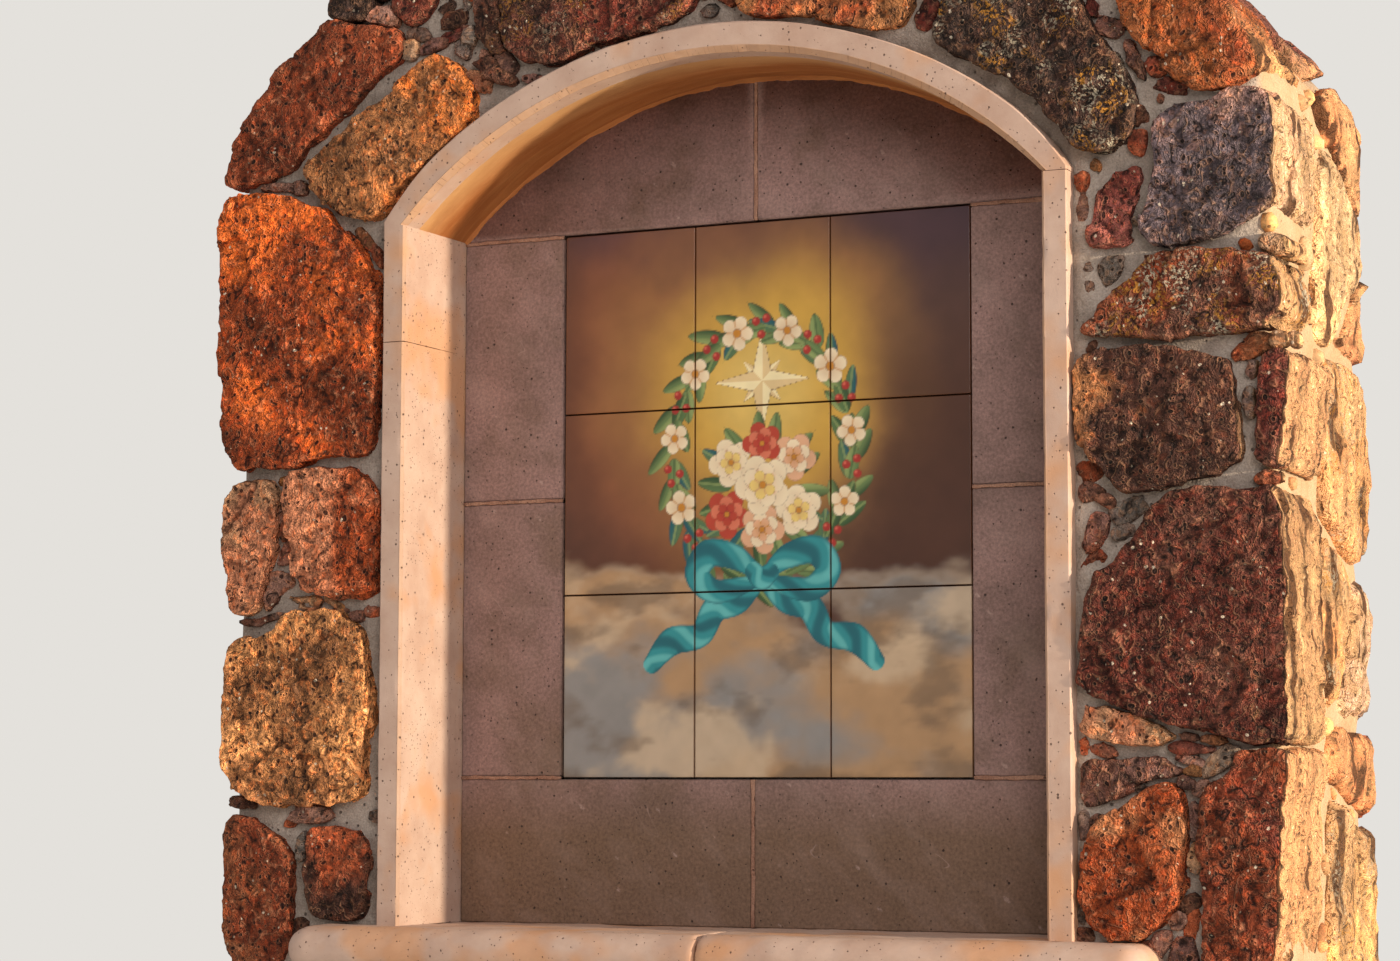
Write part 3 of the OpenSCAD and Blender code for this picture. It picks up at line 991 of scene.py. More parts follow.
# small stones in the joints: place, half length, half width and turn in the photograph, tones
pressedStones = {
    "leftJoints": (
        (278, 499, 7, 4, 90, "palePink", "mauve"), (280, 517, 9, 6, 80, "palePink", "rust"),
        (281, 533, 9, 5, 100, "rust", "umber"), (281, 554, 13, 6, 72, "rust", "palePink"),
        (304, 600, 18, 8, -3, "rust", "tan"), (331, 604, 11, 5, -35, "tan", "ochre"),
        (368, 611, 8, 6, 10, "rust", "palePink"), (354, 616, 7, 5, 0, "mauve", "umber"),
        (262, 619, 18, 5, 18, "coolGrey", "umber"), (245, 622, 8, 4, 0, "umber", "rust"),
        (310, 815, 18, 8, 2, "palePink", "mauve"), (286, 822, 7, 5, 40, "umber", "rust"),
        (360, 237, 12, 5, -55, "orangeBrown", "umber"), (369, 248, 11, 5, -50, "umber", "rust"),
        (375, 260, 9, 4, -60, "rust", "mauve"), (338, 612, 8, 4, 0, "umber", "mauve"),
        (372, 816, 6, 7, 90, "coolGrey", "umber"), (296, 930, 10, 7, 80, "umber", "mauve"),
        (298, 846, 14, 5, 85, "coolGrey", "mauve"), (240, 804, 13, 5, -12, "umber", "rust"),
    ),
    "crownLeft": (
        (444, 6, 10, 6, 35, "umber", "black"), (450, 18, 15, 8, 25, "umber", "rust"),
        (416, 33, 10, 6, 0, "umber", "coolGrey"), (408, 49, 9, 6, 80, "tan", "coolGrey"),
        (430, 45, 14, 6, 25, "umber", "mauve"), (451, 34, 14, 6, 28, "deepRed", "coolGrey"),
        (482, 53, 6, 4, 0, "palePink", "rust"), (503, 62, 10, 7, -50, "mauve", "palePink"),
        (475, 80, 13, 8, -35, "pinkOrange", "tan"), (528, 78, 10, 5, -5, "palePink", "mauve"),
        (709, 10, 11, 8, 20, "coolGrey", "umber"), (725, -6, 9, 12, 60, "umber", "rust"),
        (703, -14, 8, 9, 0, "deepRed", "umber"), (924, 12, 14, 8, 70, "deepRed", "umber"),
        (933, -14, 10, 8, 40, "mauve", "coolGrey"), (446, -14, 12, 8, 10, "umber", "coolGrey"),
        (466, -2, 10, 6, 80, "coolGrey", "umber"), (381, -10, 8, 12, 90, "mauve", "umber"),
    ),
    "rightTop": (
        (1089, 6, 10, 8, 80, "deepRed", "umber"), (1106, 24, 14, 11, -20, "mauve", "umber"),
        (1153, 66, 11, 8, -30, "rust", "deepRed"), (1169, 85, 17, 7, -12, "deepRed", "mauve"),
        (1158, 96, 6, 5, 90, "coolGrey", "umber"), (1138, 112, 9, 9, 0, "umber", "darkGrey"),
        (1136, 141, 12, 7, 80, "deepRed", "rust"), (1080, 181, 10, 6, 90, "rust", "palePink"),
        (1080, 207, 14, 6, 90, "palePink", "rust"), (1134, 219, 4, 3, 90, "coolGrey", "tan"),
        (1091, 164, 5, 5, 0, "ochre", "umber"), (1251, 346, 19, 10, 25, "orangeBrown", "rust"),
        (1086, 344, 7, 5, -20, "umber", "mauve"), (1277, 338, 7, 6, 0, "tan", "umber"),
        (1291, 338, 6, 7, 0, "tan", "coolGrey"), (1247, 400, 14, 6, 88, "coolGrey", "mauve"),
        (1249, 366, 9, 5, 80, "mauve", "coolGrey"), (1267, 478, 12, 5, 5, "umber", "rust"),
    ),
    "rightJoints": (
        (1088, 468, 13, 12, 20, "rust", "mauve"), (1089, 491, 12, 8, 0, "umber", "mauve"),
        (1104, 500, 9, 6, -30, "mauve", "umber"), (1123, 509, 18, 11, 35, "coolGrey", "mauve"),
        (1090, 562, 13, 7, 55, "deepRed", "rust"), (1118, 532, 9, 6, 30, "coolGrey", "umber"),
        (1082, 748, 9, 5, 85, "palePink", "rust"), (1101, 750, 12, 7, -12, "rust", "palePink"),
        (1186, 736, 11, 4, -10, "umber", "mauve"), (1211, 740, 12, 5, -8, "orangeBrown", "umber"),
        (1189, 748, 19, 5, -2, "deepRed", "mauve"), (1190, 761, 14, 6, -15, "deepRed", "palePink"),
        (1218, 760, 20, 9, 40, "coolGrey", "tan"), (1191, 771, 10, 4, -5, "ochre", "umber"),
        (1185, 783, 9, 6, -20, "mauve", "umber"), (1198, 788, 9, 7, 50, "palePink", "rust"),
        (1082, 825, 12, 5, 90, "coolGrey", "mauve"), (1094, 821, 6, 5, 60, "mauve", "umber"),
        (1080, 848, 7, 4, 90, "umber", "coolGrey"), (1081, 914, 8, 5, 90, "coolGrey", "umber"),
        (1145, 944, 8, 5, 10, "umber", "rust"), (1157, 946, 14, 6, 60, "palePink", "mauve"),
        (1176, 921, 9, 8, 30, "palePink", "umber"), (1189, 925, 16, 7, 80, "palePink", "rust"),
        (1188, 903, 10, 8, 20, "umber", "mauve"), (1193, 822, 17, 6, 92, "coolGrey", "mauve"),
        (1193, 858, 15, 8, 88, "coolGrey", "tan"), (1139, 788, 7, 5, 0, "coolGrey", "umber"),
        (1137, 716, 8, 3, -10, "coolGrey", "tan"), (1083, 937, 8, 7, 0, "black", "umber"),
    ),
}
handSet = {
    "voxel": 0.0043, "softening": 2, "hiddenBelow": 0.042, "step": 0.012, "broken": 0.0026,
    "relief": {"Lump": 0.0020, "Facet": 0.0042, "Grain": 0.0022, "Pit": 0.0024, "Ground": 0.0},
}


def roundedOutline(points, rounds=2):
    # cuts the corners of a closed outline
    for _ in range(rounds):
        cut = []
        for i, a in enumerate(points):
            b = points[(i + 1) % len(points)]
            cut.append((a[0] * 0.8 + b[0] * 0.2, a[1] * 0.8 + b[1] * 0.2))
            cut.append((a[0] * 0.2 + b[0] * 0.8, a[1] * 0.2 + b[1] * 0.8))
        points = cut
    return points


def brokenOutline(points, step, rough, seed):
    # goes round an outline in even steps and shifts each corner, as on broken stone
    rng = random.Random(seed)
    around = np.array(points + points[:1])
    lengths = np.concatenate(([0], np.cumsum(np.hypot(*np.diff(around, axis=0).T))))
    places = np.linspace(0, lengths[-1], max(8, round(lengths[-1] / step)), endpoint=False)
    return [(float(np.interp(p, lengths, around[:, 0])) + rng.uniform(-rough, rough),
             float(np.interp(p, lengths, around[:, 1])) + rng.uniform(-rough, rough))
            for p in places]


def prismMesh(outline, y0, y1):
    # an upright prism over a front outline of (x, z) points, from y0 back to y1
    area = sum(a[0] * b[1] - b[0] * a[1] for a, b in zip(outline, outline[1:] + outline[:1]))
    if area < 0:
        outline = outline[::-1]
    bm = bmesh.new()
    front = [bm.verts.new((x, y0, z)) for x, z in outline]
    back = [bm.verts.new((x, y1, z)) for x, z in outline]
    bm.faces.new(front)
    bm.faces.new(back[::-1])
    for i in range(len(outline)):
        j = (i + 1) % len(outline)
        bm.faces.new((front[j], front[i], back[i], back[j]))
    bmesh.ops.recalc_face_normals(bm, faces=bm.faces)
    return meshFromBm(bm, "prism")


def dropHidden(points, quads, hidden):
    # takes off the faces of a stone that lie inside the wall and closes the hole with fans
    kept = ~hidden[quads].any(axis=1)
    faces = quads[kept]
    if len(faces) == len(quads) or not len(faces):
        return points, np.asarray(faces)
    ends = np.concatenate([faces[:, [i, (i + 1) % 4]] for i in range(4)])
    known = set(map(tuple, ends.tolist()))
    rims = [(a, b) for a, b in known if (b, a) not in known]
    group = {}

    def root(v):
        while group.get(v, v) != v:
            v = group[v]
        return v

    for a, b in rims:
        group[root(a)] = root(b)
    rings = {}
    for a, b in rims:
        rings.setdefault(root(a), []).append((a, b))
    added, fans = [], []
    for ring in rings.values():
        hub = len(points) + len(added)
        added.append(points[[a for a, b in ring]].mean(axis=0))
        fans += [(b, a, hub, -1) for a, b in ring]
    points = np.concatenate([points, np.array(added)])
    faces = np.concatenate([faces, np.array(fans)])
    used = np.unique(faces[faces >= 0])
    places = np.full(len(points), -1)
    places[used] = np.arange(len(used))
    faces = np.where(faces >= 0, places[faces], -1)
    return points[used], faces


def sunlitSideMask(mesh):
    # how strongly each point of the side that looks to +X is painted as sunlit: painted sunlight,
    # with some real bleaching by the afternoon sun
    normals = np.empty(len(mesh.vertices) * 3, dtype=np.float32)
    mesh.vertex_normals.foreach_get("vector", normals)
    facing = normals.reshape(-1, 3)[:, 0]
    points = pointsOf(mesh)
    out = np.clip((points[:, 0] - halfWidth + 0.06) / 0.03, 0, 1)
    behind = np.clip((points[:, 1] - frontY - 0.02) / 0.02, 0, 1)
    behind *= np.clip((backY - 0.03 - points[:, 1]) / 0.02, 0, 1)
    return np.maximum(np.clip((facing - 0.5) / 0.3, 0, 1), behind * (facing > -0.2)) * out


class StoneHeap:
    # gathers the stones of one wall into one mesh with their tones and seeds

    def __init__(self, name):
        self.name = name
        self.points, self.faces, self.count = [], [], 0
        self.colours = {"toneMain": [], "tonePatch": []}
        self.floats = {"stoneSeed": [], "lichen": [], "patchLean": [], "rugged": []}

    def add(self, mesh, hiddenBelow, tones, seed, lichen, lean=(0.0, 0.0, 0.0), rugged=None):
        points, quads = pointsOf(mesh), quadsOf(mesh)
        bpy.data.meshes.remove(mesh)
        points, faces = dropHidden(points, quads, bodyDepth(points) > hiddenBelow)
        if not len(faces):
            return
        self.points.append(points)
        self.faces.append(np.where(faces >= 0, faces + self.count, -1))
        self.count += len(points)
        for rows, colour in zip(self.colours.values(), tones):
            rows.append(np.tile(colour, (len(points), 1)))
        if rugged is None:
            # dark stones are rougher and show more light and dark
            brightness = (np.array(tones[0]) + np.array(tones[1]))[:3] @ (0.15, 0.295, 0.055)
            rugged = float(np.interp(brightness, (0.05, 0.13), (0.8, 0.1)))
        middle = points.mean(axis=0)
        span = max(np.ptp(points[:, 0]), np.ptp(points[:, 2])) / 2
        turn = math.radians(lean[0])
        across = ((points[:, 0] - middle[0]) * math.cos(turn)
                  + (points[:, 2] - middle[2]) * math.sin(turn)) / span
        parts = (seed, lichen, across * lean[1] + lean[2], rugged)
        for rows, value in zip(self.floats.values(), parts):
            rows.append(np.broadcast_to(value, len(points)))

    def finish(self, relief):
        mesh = meshFromFaces(self.name, np.concatenate(self.points), np.concatenate(self.faces))
        for name, rows in self.colours.items():
            giveColour(mesh, name, np.concatenate(rows))
        for name, rows in self.floats.items():
            giveFloat(mesh, name, np.concatenate(rows))
        piece = newObject(self.name, mesh)
        runTree(piece, stoneRelief, relief)
        giveFloat(piece.data, "sunlitBleach", sunlitSideMask(piece.data))
        finishPiece(piece, rubbleStone)
        print(self.name, len(piece.data.polygons), "faces")


# geometry tree that roughens the stones

def swing(tree, value, size):
    # a noise from 0 to 1 made into a move of about the given size either way
    return times(tree, minus(tree, value, 0.5), times(tree, size, 4.0))


def facetSlope(tree, place, scale, size, steepness):
    # flat facets: each cell leans its own way
    cells = put(tree, "ShaderNodeTexVoronoi", {"Vector": place, "Scale": scale})
    spread = vectorMath(tree, place, cells.outputs["Position"], "SUBTRACT")
    lean = vectorMath(tree, cells.outputs["Color"], (0.5, 0.5, 0.5), "SUBTRACT")
    slope = put(tree, "ShaderNodeVectorMath", {0: spread, 1: lean},
                operation="DOT_PRODUCT").outputs["Value"]
    return times(tree, slope, times(tree, size, steepness))


def makeStoneRelief():
    tree, ends, out = newGroup("stoneRelief", [
        ("Geometry", "NodeSocketGeometry", None), ("Lump", "NodeSocketFloat", 0.006),
        ("Facet", "NodeSocketFloat", 0.006), ("Grain", "NodeSocketFloat", 0.0016),
        ("Pit", "NodeSocketFloat", 0.002), ("Ground", "NodeSocketFloat", 0.0),
    ], [("Geometry", "NodeSocketGeometry")], "GeometryNodeTree")
    seed = put(tree, "GeometryNodeInputNamedAttribute", {"Name": "stoneSeed"},
               data_type="FLOAT").outputs[0]
    moved = seedShifted(tree, put(tree, "GeometryNodeInputPosition").outputs[0], seed)
    lumps = noise(tree, moved, 7.0, 1.0)
    lumpy = swing(tree, lumps, ends["Lump"])
    broad = facetSlope(tree, moved, 9.0, ends["Facet"], 22.0)
    small = facetSlope(tree, moved, 27.0, ends["Facet"], 32.0)
    grain = noise(tree, moved, 48.0, 5.0, 0.62)
    grainy = swing(tree, grain, ends["Grain"])
    bubbles = put(tree, "ShaderNodeTexVoronoi", {
        "Vector": moved, "Scale": 42.0, "Randomness": 1.0,
    })
    chance = put(tree, "ShaderNodeSeparateXYZ", {0: bubbles.outputs["Color"]}).outputs[0]
    pitDepth = remap(tree, bubbles.outputs["Distance"], 0.14, 0.30, 1.0, 0.0)
    pitDepth = times(tree, pitDepth, calc(tree, chance, 0.70, "GREATER_THAN"))
    sunkPits = times(tree, pitDepth, times(tree, ends["Pit"], -1.0))
    total = plus(tree, lumpy, broad, plus(tree, grainy, sunkPits, small))
    normal = put(tree, "GeometryNodeInputNormal").outputs[0]
    offset = vectorScale(tree, normal, total)
    shaped = put(tree, "GeometryNodeSetPosition", {
        "Geometry": ends["Geometry"], "Offset": offset,
    })
    now = put(tree, "GeometryNodeInputPosition").outputs[0]
    parts = put(tree, "ShaderNodeSeparateXYZ", {0: now})
    floorZ = larger(tree, parts.outputs[2], ends["Ground"])
    flat = put(tree, "ShaderNodeCombineXYZ", {
        0: parts.outputs[0], 1: parts.outputs[1], 2: floorZ,
    }).outputs[0]
    settled = put(tree, "GeometryNodeSetPosition", {
        "Geometry": shaped.outputs[0], "Position": flat,
    })
    end = put(tree, "GeometryNodeInputPosition").outputs[0]
    even = put(tree, "GeometryNodeBlurAttribute", {"Value": end, "Iterations": 7},
               data_type="FLOAT_VECTOR").outputs[0]
    rise = vectorMath(tree, end, even, "SUBTRACT")
    outward = put(tree, "GeometryNodeInputNormal").outputs[0]
    edge = put(tree, "ShaderNodeVectorMath", {0: rise, 1: outward},
               operation="DOT_PRODUCT").outputs["Value"]
    marked = put(tree, "GeometryNodeStoreNamedAttribute", {
        "Geometry": settled.outputs[0], "Name": "edge", "Value": edge,
    }, data_type="FLOAT", domain="POINT")
    tree.links.new(marked.outputs[0], out["Geometry"])
    return tree


stoneRelief = makeStoneRelief()


def layHandStones():
    heaps = {side: StoneHeap(side + "_stones") for side in ("left", "crown", "right")}
    spheres = []
    for index, stone in enumerate((*handStones.values(), *cornerChinks.values())):
        outline = [onFace(px, py, frontY) for px, py in stone["outline"]]
        y0, y1 = frontY - stone["proud"], frontY + stone["reach"]
        broken = brokenOutline(roundedOutline(outline), handSet["step"], handSet["broken"], index)
        mesh = remeshed(prismMesh(broken, y0, y1), handSet["voxel"], handSet["softening"])
        tones = [stoneTones[t] for t in stone["tones"]]
        middle = sum(x for x, z in outline) / len(outline)
        side = "left" if middle < -innerX else "right" if middle > innerX else "crown"
        heaps[side].add(mesh, handSet["hiddenBelow"], tones, index + 1.0,
                        stone.get("lichen", 0.0), stone.get("lean", (0.0, 0.0, 0.0)),
                        stone.get("rugged"))
        spheres += spheresIn(outline, stone["reach"])
    for heap in heaps.values():
        heap.finish(handSet["relief"])
    return spheres


def edgeDistance(x, z, outline):
    # distance from a point to the outline, negative outside it
    inside, nearest = False, 9.0
    for i, (ax, az) in enumerate(outline):
        bx, bz = outline[(i + 1) % len(outline)]
        if (az > z) != (bz > z) and x < (bx - ax) * (z - az) / (bz - az) + ax:
            inside = not inside
        length = (bx - ax) ** 2 + (bz - az) ** 2
        t = max(0.0, min(1.0, ((x - ax) * (bx - ax) + (z - az) * (bz - az)) / length))
        nearest = min(nearest, math.hypot(x - ax - t * (bx - ax), z - az - t * (bz - az)))
    return nearest if inside else -nearest


def spheresIn(outline, reach, step=0.03, smallest=0.014):
    # spheres that fill a listed stone, so that the other stones keep clear of it
    found = []
    lowX, highX = min(p[0] for p in outline), max(p[0] for p in outline)
    lowZ, highZ = min(p[1] for p in outline), max(p[1] for p in outline)
    for i in range(int((highX - lowX) / step) + 1):
        for k in range(int((highZ - lowZ) / step) + 1):
            x, z = lowX + (i + 0.5) * step, lowZ + (k + 0.5) * step
            r = min(edgeDistance(x, z, outline), 0.05)
            if r < smallest:
                continue
            y = frontY + r
            while y < frontY + reach:
                found.append((x, y, z, r))
                y += max(r, 0.03)
    return found


pressedSet = {
    "voxel": 0.0038, "softening": 1, "sunk": 0.006, "reach": 0.030, "seed": 3, "grow": 1.24,
    "corners": 7, "hiddenBelow": 0.035,
    "relief": {"Lump": 0.0010, "Facet": 0.0045, "Grain": 0.0006, "Pit": 0.0004, "Ground": 0.0},
}


def layPressedStones():
    heap = StoneHeap("pressed_stones")
    rng = random.Random(pressedSet["seed"])
    for group in pressedStones.values():
        for px, py, long, wide, turn, main, patch in group:
            outline = []
            for i in range(pressedSet["corners"]):
                a = 2 * math.pi * (i + rng.uniform(-0.25, 0.25)) / pressedSet["corners"]
                grow = pressedSet["grow"] * rng.uniform(0.88, 1.16)
                u = long * grow * math.copysign(abs(math.cos(a)) ** 0.9, math.cos(a))
                v = wide * grow * math.copysign(abs(math.sin(a)) ** 0.8, math.sin(a))
                lean = math.radians(turn)
                outline.append(onFace(px + u * math.cos(lean) + v * math.sin(lean),
                                      py - u * math.sin(lean) + v * math.cos(lean), frontY))
            sunk = pressedSet["sunk"] * rng.uniform(0.4, 1.3)
            mesh = prismMesh(outline, frontY + sunk, frontY + pressedSet["reach"])
            mesh = remeshed(mesh, pressedSet["voxel"], pressedSet["softening"])
            heap.add(mesh, pressedSet["hiddenBelow"], [stoneTones[main], stoneTones[patch]],
                     rng.uniform(300, 500), 0.0)
    heap.finish(pressedSet["relief"])


blockers = layHandStones()
layPressedStones()
print("front stones laid,", len(blockers), "keep-clear spheres")


# the rest of the rubble: cells between seeds spread over the masonry's faces

rubbleSet = {
    "seed": 41, "small": 0.075, "large": 0.165, "flatten": 1.35, "joint": 0.016,
    "under": 0.02, "window": 0.27, "voxel": 0.0115, "frontVoxel": 0.009, "softening": 2,
    "hiddenBelow": 0.05, "photoTop": -28, "tries": 9000, "sideFront": 0.03,
    # how the seeds are spread
    "largeTries": 0.45, "clear": 0.45, "packing": 0.86, "outside": -0.01, "sillLap": 0.03,
    "topShare": 1.15, "topReach": 0.6, "topLean": 0.4,
    # how the cells are cut
    "touch": 1e-5, "cutDistance": 1e-6, "frontIn": 0.002, "backIn": 0.004, "footIn": 0.003,
    "underSill": 0.004, "nearFace": 0.05, "neighbours": 25, "handJoint": 0.6,
    "corners": 3, "cornerCut": (0.006, 0.022), "tips": 4, "tipCut": (0.008, 0.020),
    # tones, crusts of lichen and how a stone leans from one tone to the other
    "crust": 0.6, "crustChance": 0.12, "lean": 0.04, "leanFrom": (-0.06, 0.03),
    "firstSeed": 50, "seedStep": 1.7,
    "relief": {"Lump": 0.003, "Facet": 0.007, "Grain": 0.0016, "Pit": 0.0022, "Ground": 0.0},
}


def surfacePoint(rng):
    # a random point on the outside of the masonry, with the name of the face it is on
    spans = {
        "front": 2 * halfWidth * topZ, "back": 2 * halfWidth * topZ,
        "left": (backY - frontY) * shoulderZ, "right": (backY - frontY) * shoulderZ,
        "top": ((backY - frontY) * topRadius * (math.pi - 2 * shoulderTurn)
                * rubbleSet["topShare"]),
    }
    pick = rng.uniform(0, sum(spans.values()))
    for face, area in spans.items():
        if pick < area:
            break
        pick -= area
    y, z = rng.uniform(frontY, backY), rng.uniform(0, shoulderZ)
    if face == "left":
        return face, (-halfWidth, y, z)
    if face == "right":
        return face, (halfWidth, y, z)
    if face == "top":
        start = shoulderTurn * rubbleSet["topReach"]
        a = rng.uniform(start, math.pi - start)
        x = max(-halfWidth, min(halfWidth, topRadius * math.cos(a)))
        return face, (x, y, topCentre + topRadius * math.sin(a))
    x, z = rng.uniform(-halfWidth, halfWidth), rng.uniform(0, topZ)
    return face, (x, frontY if face == "front" else backY, z)


def photoPixelY(x, y, z):
    local = cameraMatrix().inverted() @ Vector((x, y, z))
    focal = cameraSet["lens"] / cameraSet["film"] * cameraSet["photoWidth"]
    return cameraSet["photoHeight"] / 2 - focal * local.y / -local.z


def spreadSeeds(keepClear):
    rng = random.Random(rubbleSet["seed"])
    s = rubbleSet
    squash = np.array((1.0, 1.0, s["flatten"]))
    centres = np.array([p[:3] for p in keepClear])
    radii = np.array([p[3] for p in keepClear])
    seeds, sizes, faces = [], [], []
    for attempt in range(s["tries"]):
        face, place = surfacePoint(rng)
        large = attempt <= s["tries"] * s["largeTries"]
        low = 0.5 * (s["small"] + s["large"]) if large else s["small"]
        size = rng.uniform(low, s["large"])
        x, y, z = place
        beside = face == "front" and z > sillBottom - s["sillLap"]
        if beside and photoPixelY(x, y, z) > s["photoTop"]:
            continue
        point = np.array(place)
        if bodyDepth(point[None, :])[0] < s["outside"]:
            continue
        if (np.linalg.norm(centres - point, axis=1) - radii).min() < size * s["clear"]:
            continue
        if seeds:
            gaps = np.linalg.norm((np.array(seeds) - point) * squash, axis=1)
            if (gaps < s["packing"] * (np.array(sizes) + size)).any():
                continue
        if face == "top":
            inward = np.array((-x * s["topLean"], -y, (topCentre - z) * s["topLean"]))
        elif face in ("left", "right"):
            inward = np.array((-x, 0.0, 0.0))
        else:
            inward = np.array((0.0, -y, 0.0))
        seeds.append(point + inward / np.linalg.norm(inward) * s["under"])
        sizes.append(size)
        faces.append(face)
    return np.array(seeds), np.array(sizes), faces


def cutCell(bm, point, normal):
    # cuts a closed cell with a plane and closes it again; False when nothing is left
    reach = [(v.co - point).dot(normal) for v in bm.verts]
    if max(reach) < rubbleSet["touch"]:
        return True
    if min(reach) > -rubbleSet["touch"]:
        return False
    geometry = bm.verts[:] + bm.edges[:] + bm.faces[:]
    cut = bmesh.ops.bisect_plane(bm, geom=geometry, dist=rubbleSet["cutDistance"],
                                 plane_co=point, plane_no=normal, clear_outer=True)
    rim = [e for e in cut["geom_cut"] if isinstance(e, bmesh.types.BMEdge)]
    if len(rim) > 2:
        bmesh.ops.edgeloop_fill(bm, edges=rim)
    return True


def bodyPlanes():
    # the planes of the masonry's outside, as points and outward normals
    outline = bodyOutline(0.0, (4, 30))
    planes = []
    for a, b in zip(outline, outline[1:]):
        normal = Vector((b[1] - a[1], 0, a[0] - b[0])).normalized()
        planes.append((Vector(((a[0] + b[0]) / 2, 0, (a[1] + b[1]) / 2)), normal))
    return planes + [
        (Vector((0, frontY + rubbleSet["frontIn"], 0)), Vector((0, -1, 0))),
        (Vector((0, backY - rubbleSet["backIn"], 0)), Vector((0, 1, 0))),
        (Vector((0, 0, rubbleSet["footIn"])), Vector((0, 0, -1))),
    ]


def cellMesh(index, seeds, sizes, keepClear, planes, rng):
    s = rubbleSet
    seed = seeds[index]
    bm = bmesh.new()
    bmesh.ops.create_cube(bm, size=2 * s["window"], matrix=Matrix.Translation(seed))
    planes = list(planes)
    if seed[1] < frontY + s["nearFace"] and seed[2] < sillBottom:
        planes.append((Vector((0, 0, sillBottom - s["underSill"])), Vector((0, 0, 1))))
    if abs(seed[0]) > halfWidth - s["nearFace"] and sillBottom < seed[2] < shoulderZ:
        planes.append((Vector((0, frontY + s["sideFront"], 0)), Vector((0, -1, 0))))
    squash = np.array((1.0, 1.0, s["flatten"]))
    gaps = np.linalg.norm((seeds - seed) * squash, axis=1)
    for other in np.argsort(gaps)[1:s["neighbours"] + 1]:
        if gaps[other] > 2 * s["window"]:
            break
        way = (seeds[other] - seed) * squash
        part = 0.5 + (sizes[index] ** 2 - sizes[other] ** 2) / (2 * gaps[other] ** 2)
        normal = Vector(way * squash).normalized()
        point = Vector(seed + (seeds[other] - seed) * part) - normal * s["joint"] / 2
        planes.append((point, normal))
    for x, y, z, r in keepClear:
        way = Vector((x, y, z)) - Vector(seed)
        if way.length - r <= s["window"]:
            normal = way.normalized()
            point = Vector((x, y, z)) - normal * (r + s["joint"] * s["handJoint"])
            planes.append((point, normal))
    for point, normal in planes:
        if not cutCell(bm, point, normal):
            bm.free()
            return None
    for _ in range(s["corners"]):
        # knocks off corners
        aim = Vector((rng.uniform(-1, 1), rng.uniform(-1, 1), rng.uniform(-1, 1))).normalized()
        far = max(v.co.dot(aim) for v in bm.verts)
        if not cutCell(bm, aim * (far - rng.uniform(*s["cornerCut"])), aim):
            break
    for _ in range(s["tips"]):
        # and blunts its farthest tips
        middle = sum((v.co for v in bm.verts), Vector()) / len(bm.verts)
        tip = max((v.co - middle for v in bm.verts), key=lambda way: way.length)
        aim = tip.normalized()
        if not cutCell(bm, middle + aim * (tip.length - rng.uniform(*s["tipCut"])), aim):
            break
    return meshFromBm(bm, "cell")


def layRubble(keepClear):
    seeds, sizes, faces = spreadSeeds(keepClear)
    rng = random.Random(rubbleSet["seed"] + 1)
    planes = bodyPlanes()
    s, names = rubbleSet, list(stoneTones)
    shares = [[row[column] for row in toneTable.values()] for column in (1, 2)]
    sides = ("front", "left", "right", "back", "top")
    heaps = {face: StoneHeap(face + "_rubble") for face in sides}
    for index in range(len(seeds)):
        mesh = cellMesh(index, seeds, sizes, keepClear, planes, rng)
        if mesh is None or len(mesh.vertices) < 4:
            continue
        voxel = s["frontVoxel" if faces[index] == "front" else "voxel"]
        mesh = remeshed(mesh, voxel, s["softening"])
        if not len(mesh.polygons):
            continue
        pair = rng.choices(names, shares[faces[index] == "right"], k=2)
        crust = s["crust"] if rng.random() < s["crustChance"] else 0.0
        lean = (rng.uniform(0, 360), s["lean"], rng.uniform(*s["leanFrom"]))
        heaps[faces[index]].add(mesh, s["hiddenBelow"], [stoneTones[t] for t in pair],
                                s["firstSeed"] + index * s["seedStep"], crust, lean)
    for heap in heaps.values():
        heap.finish(s["relief"])
    print(len(seeds), "rubble stones laid")


layRubble(blockers)


# the mortar core between and behind the stones

coreSet = {
    "inset": 0.020, "frontInset": 0.013, "sideInset": 0.015, "frameLap": 0.012, "collar": 0.022,
    "collarInset": 0.004, "lap": 0.05, "voxel": 0.016, "softening": 7,
    "relief": {"Lump": 0.0028, "Facet": 0.002, "Grain": 0.0016, "Pit": 0.0, "Ground": 0.0},
}


def archLine(half, radius, steps=24):
    # the line of an arched opening from the left springing over to the right
    turn = math.acos(half / radius)
    return [(radius * math.cos(a), archCentre + radius * math.sin(a))
            for a in np.linspace(math.pi - turn, turn, steps)]


def joinedMesh(meshes):
    bm = bmesh.new()
    for mesh in meshes:
        bm.from_mesh(mesh)
        bpy.data.meshes.remove(mesh)
    return meshFromBm(bm, "joined")


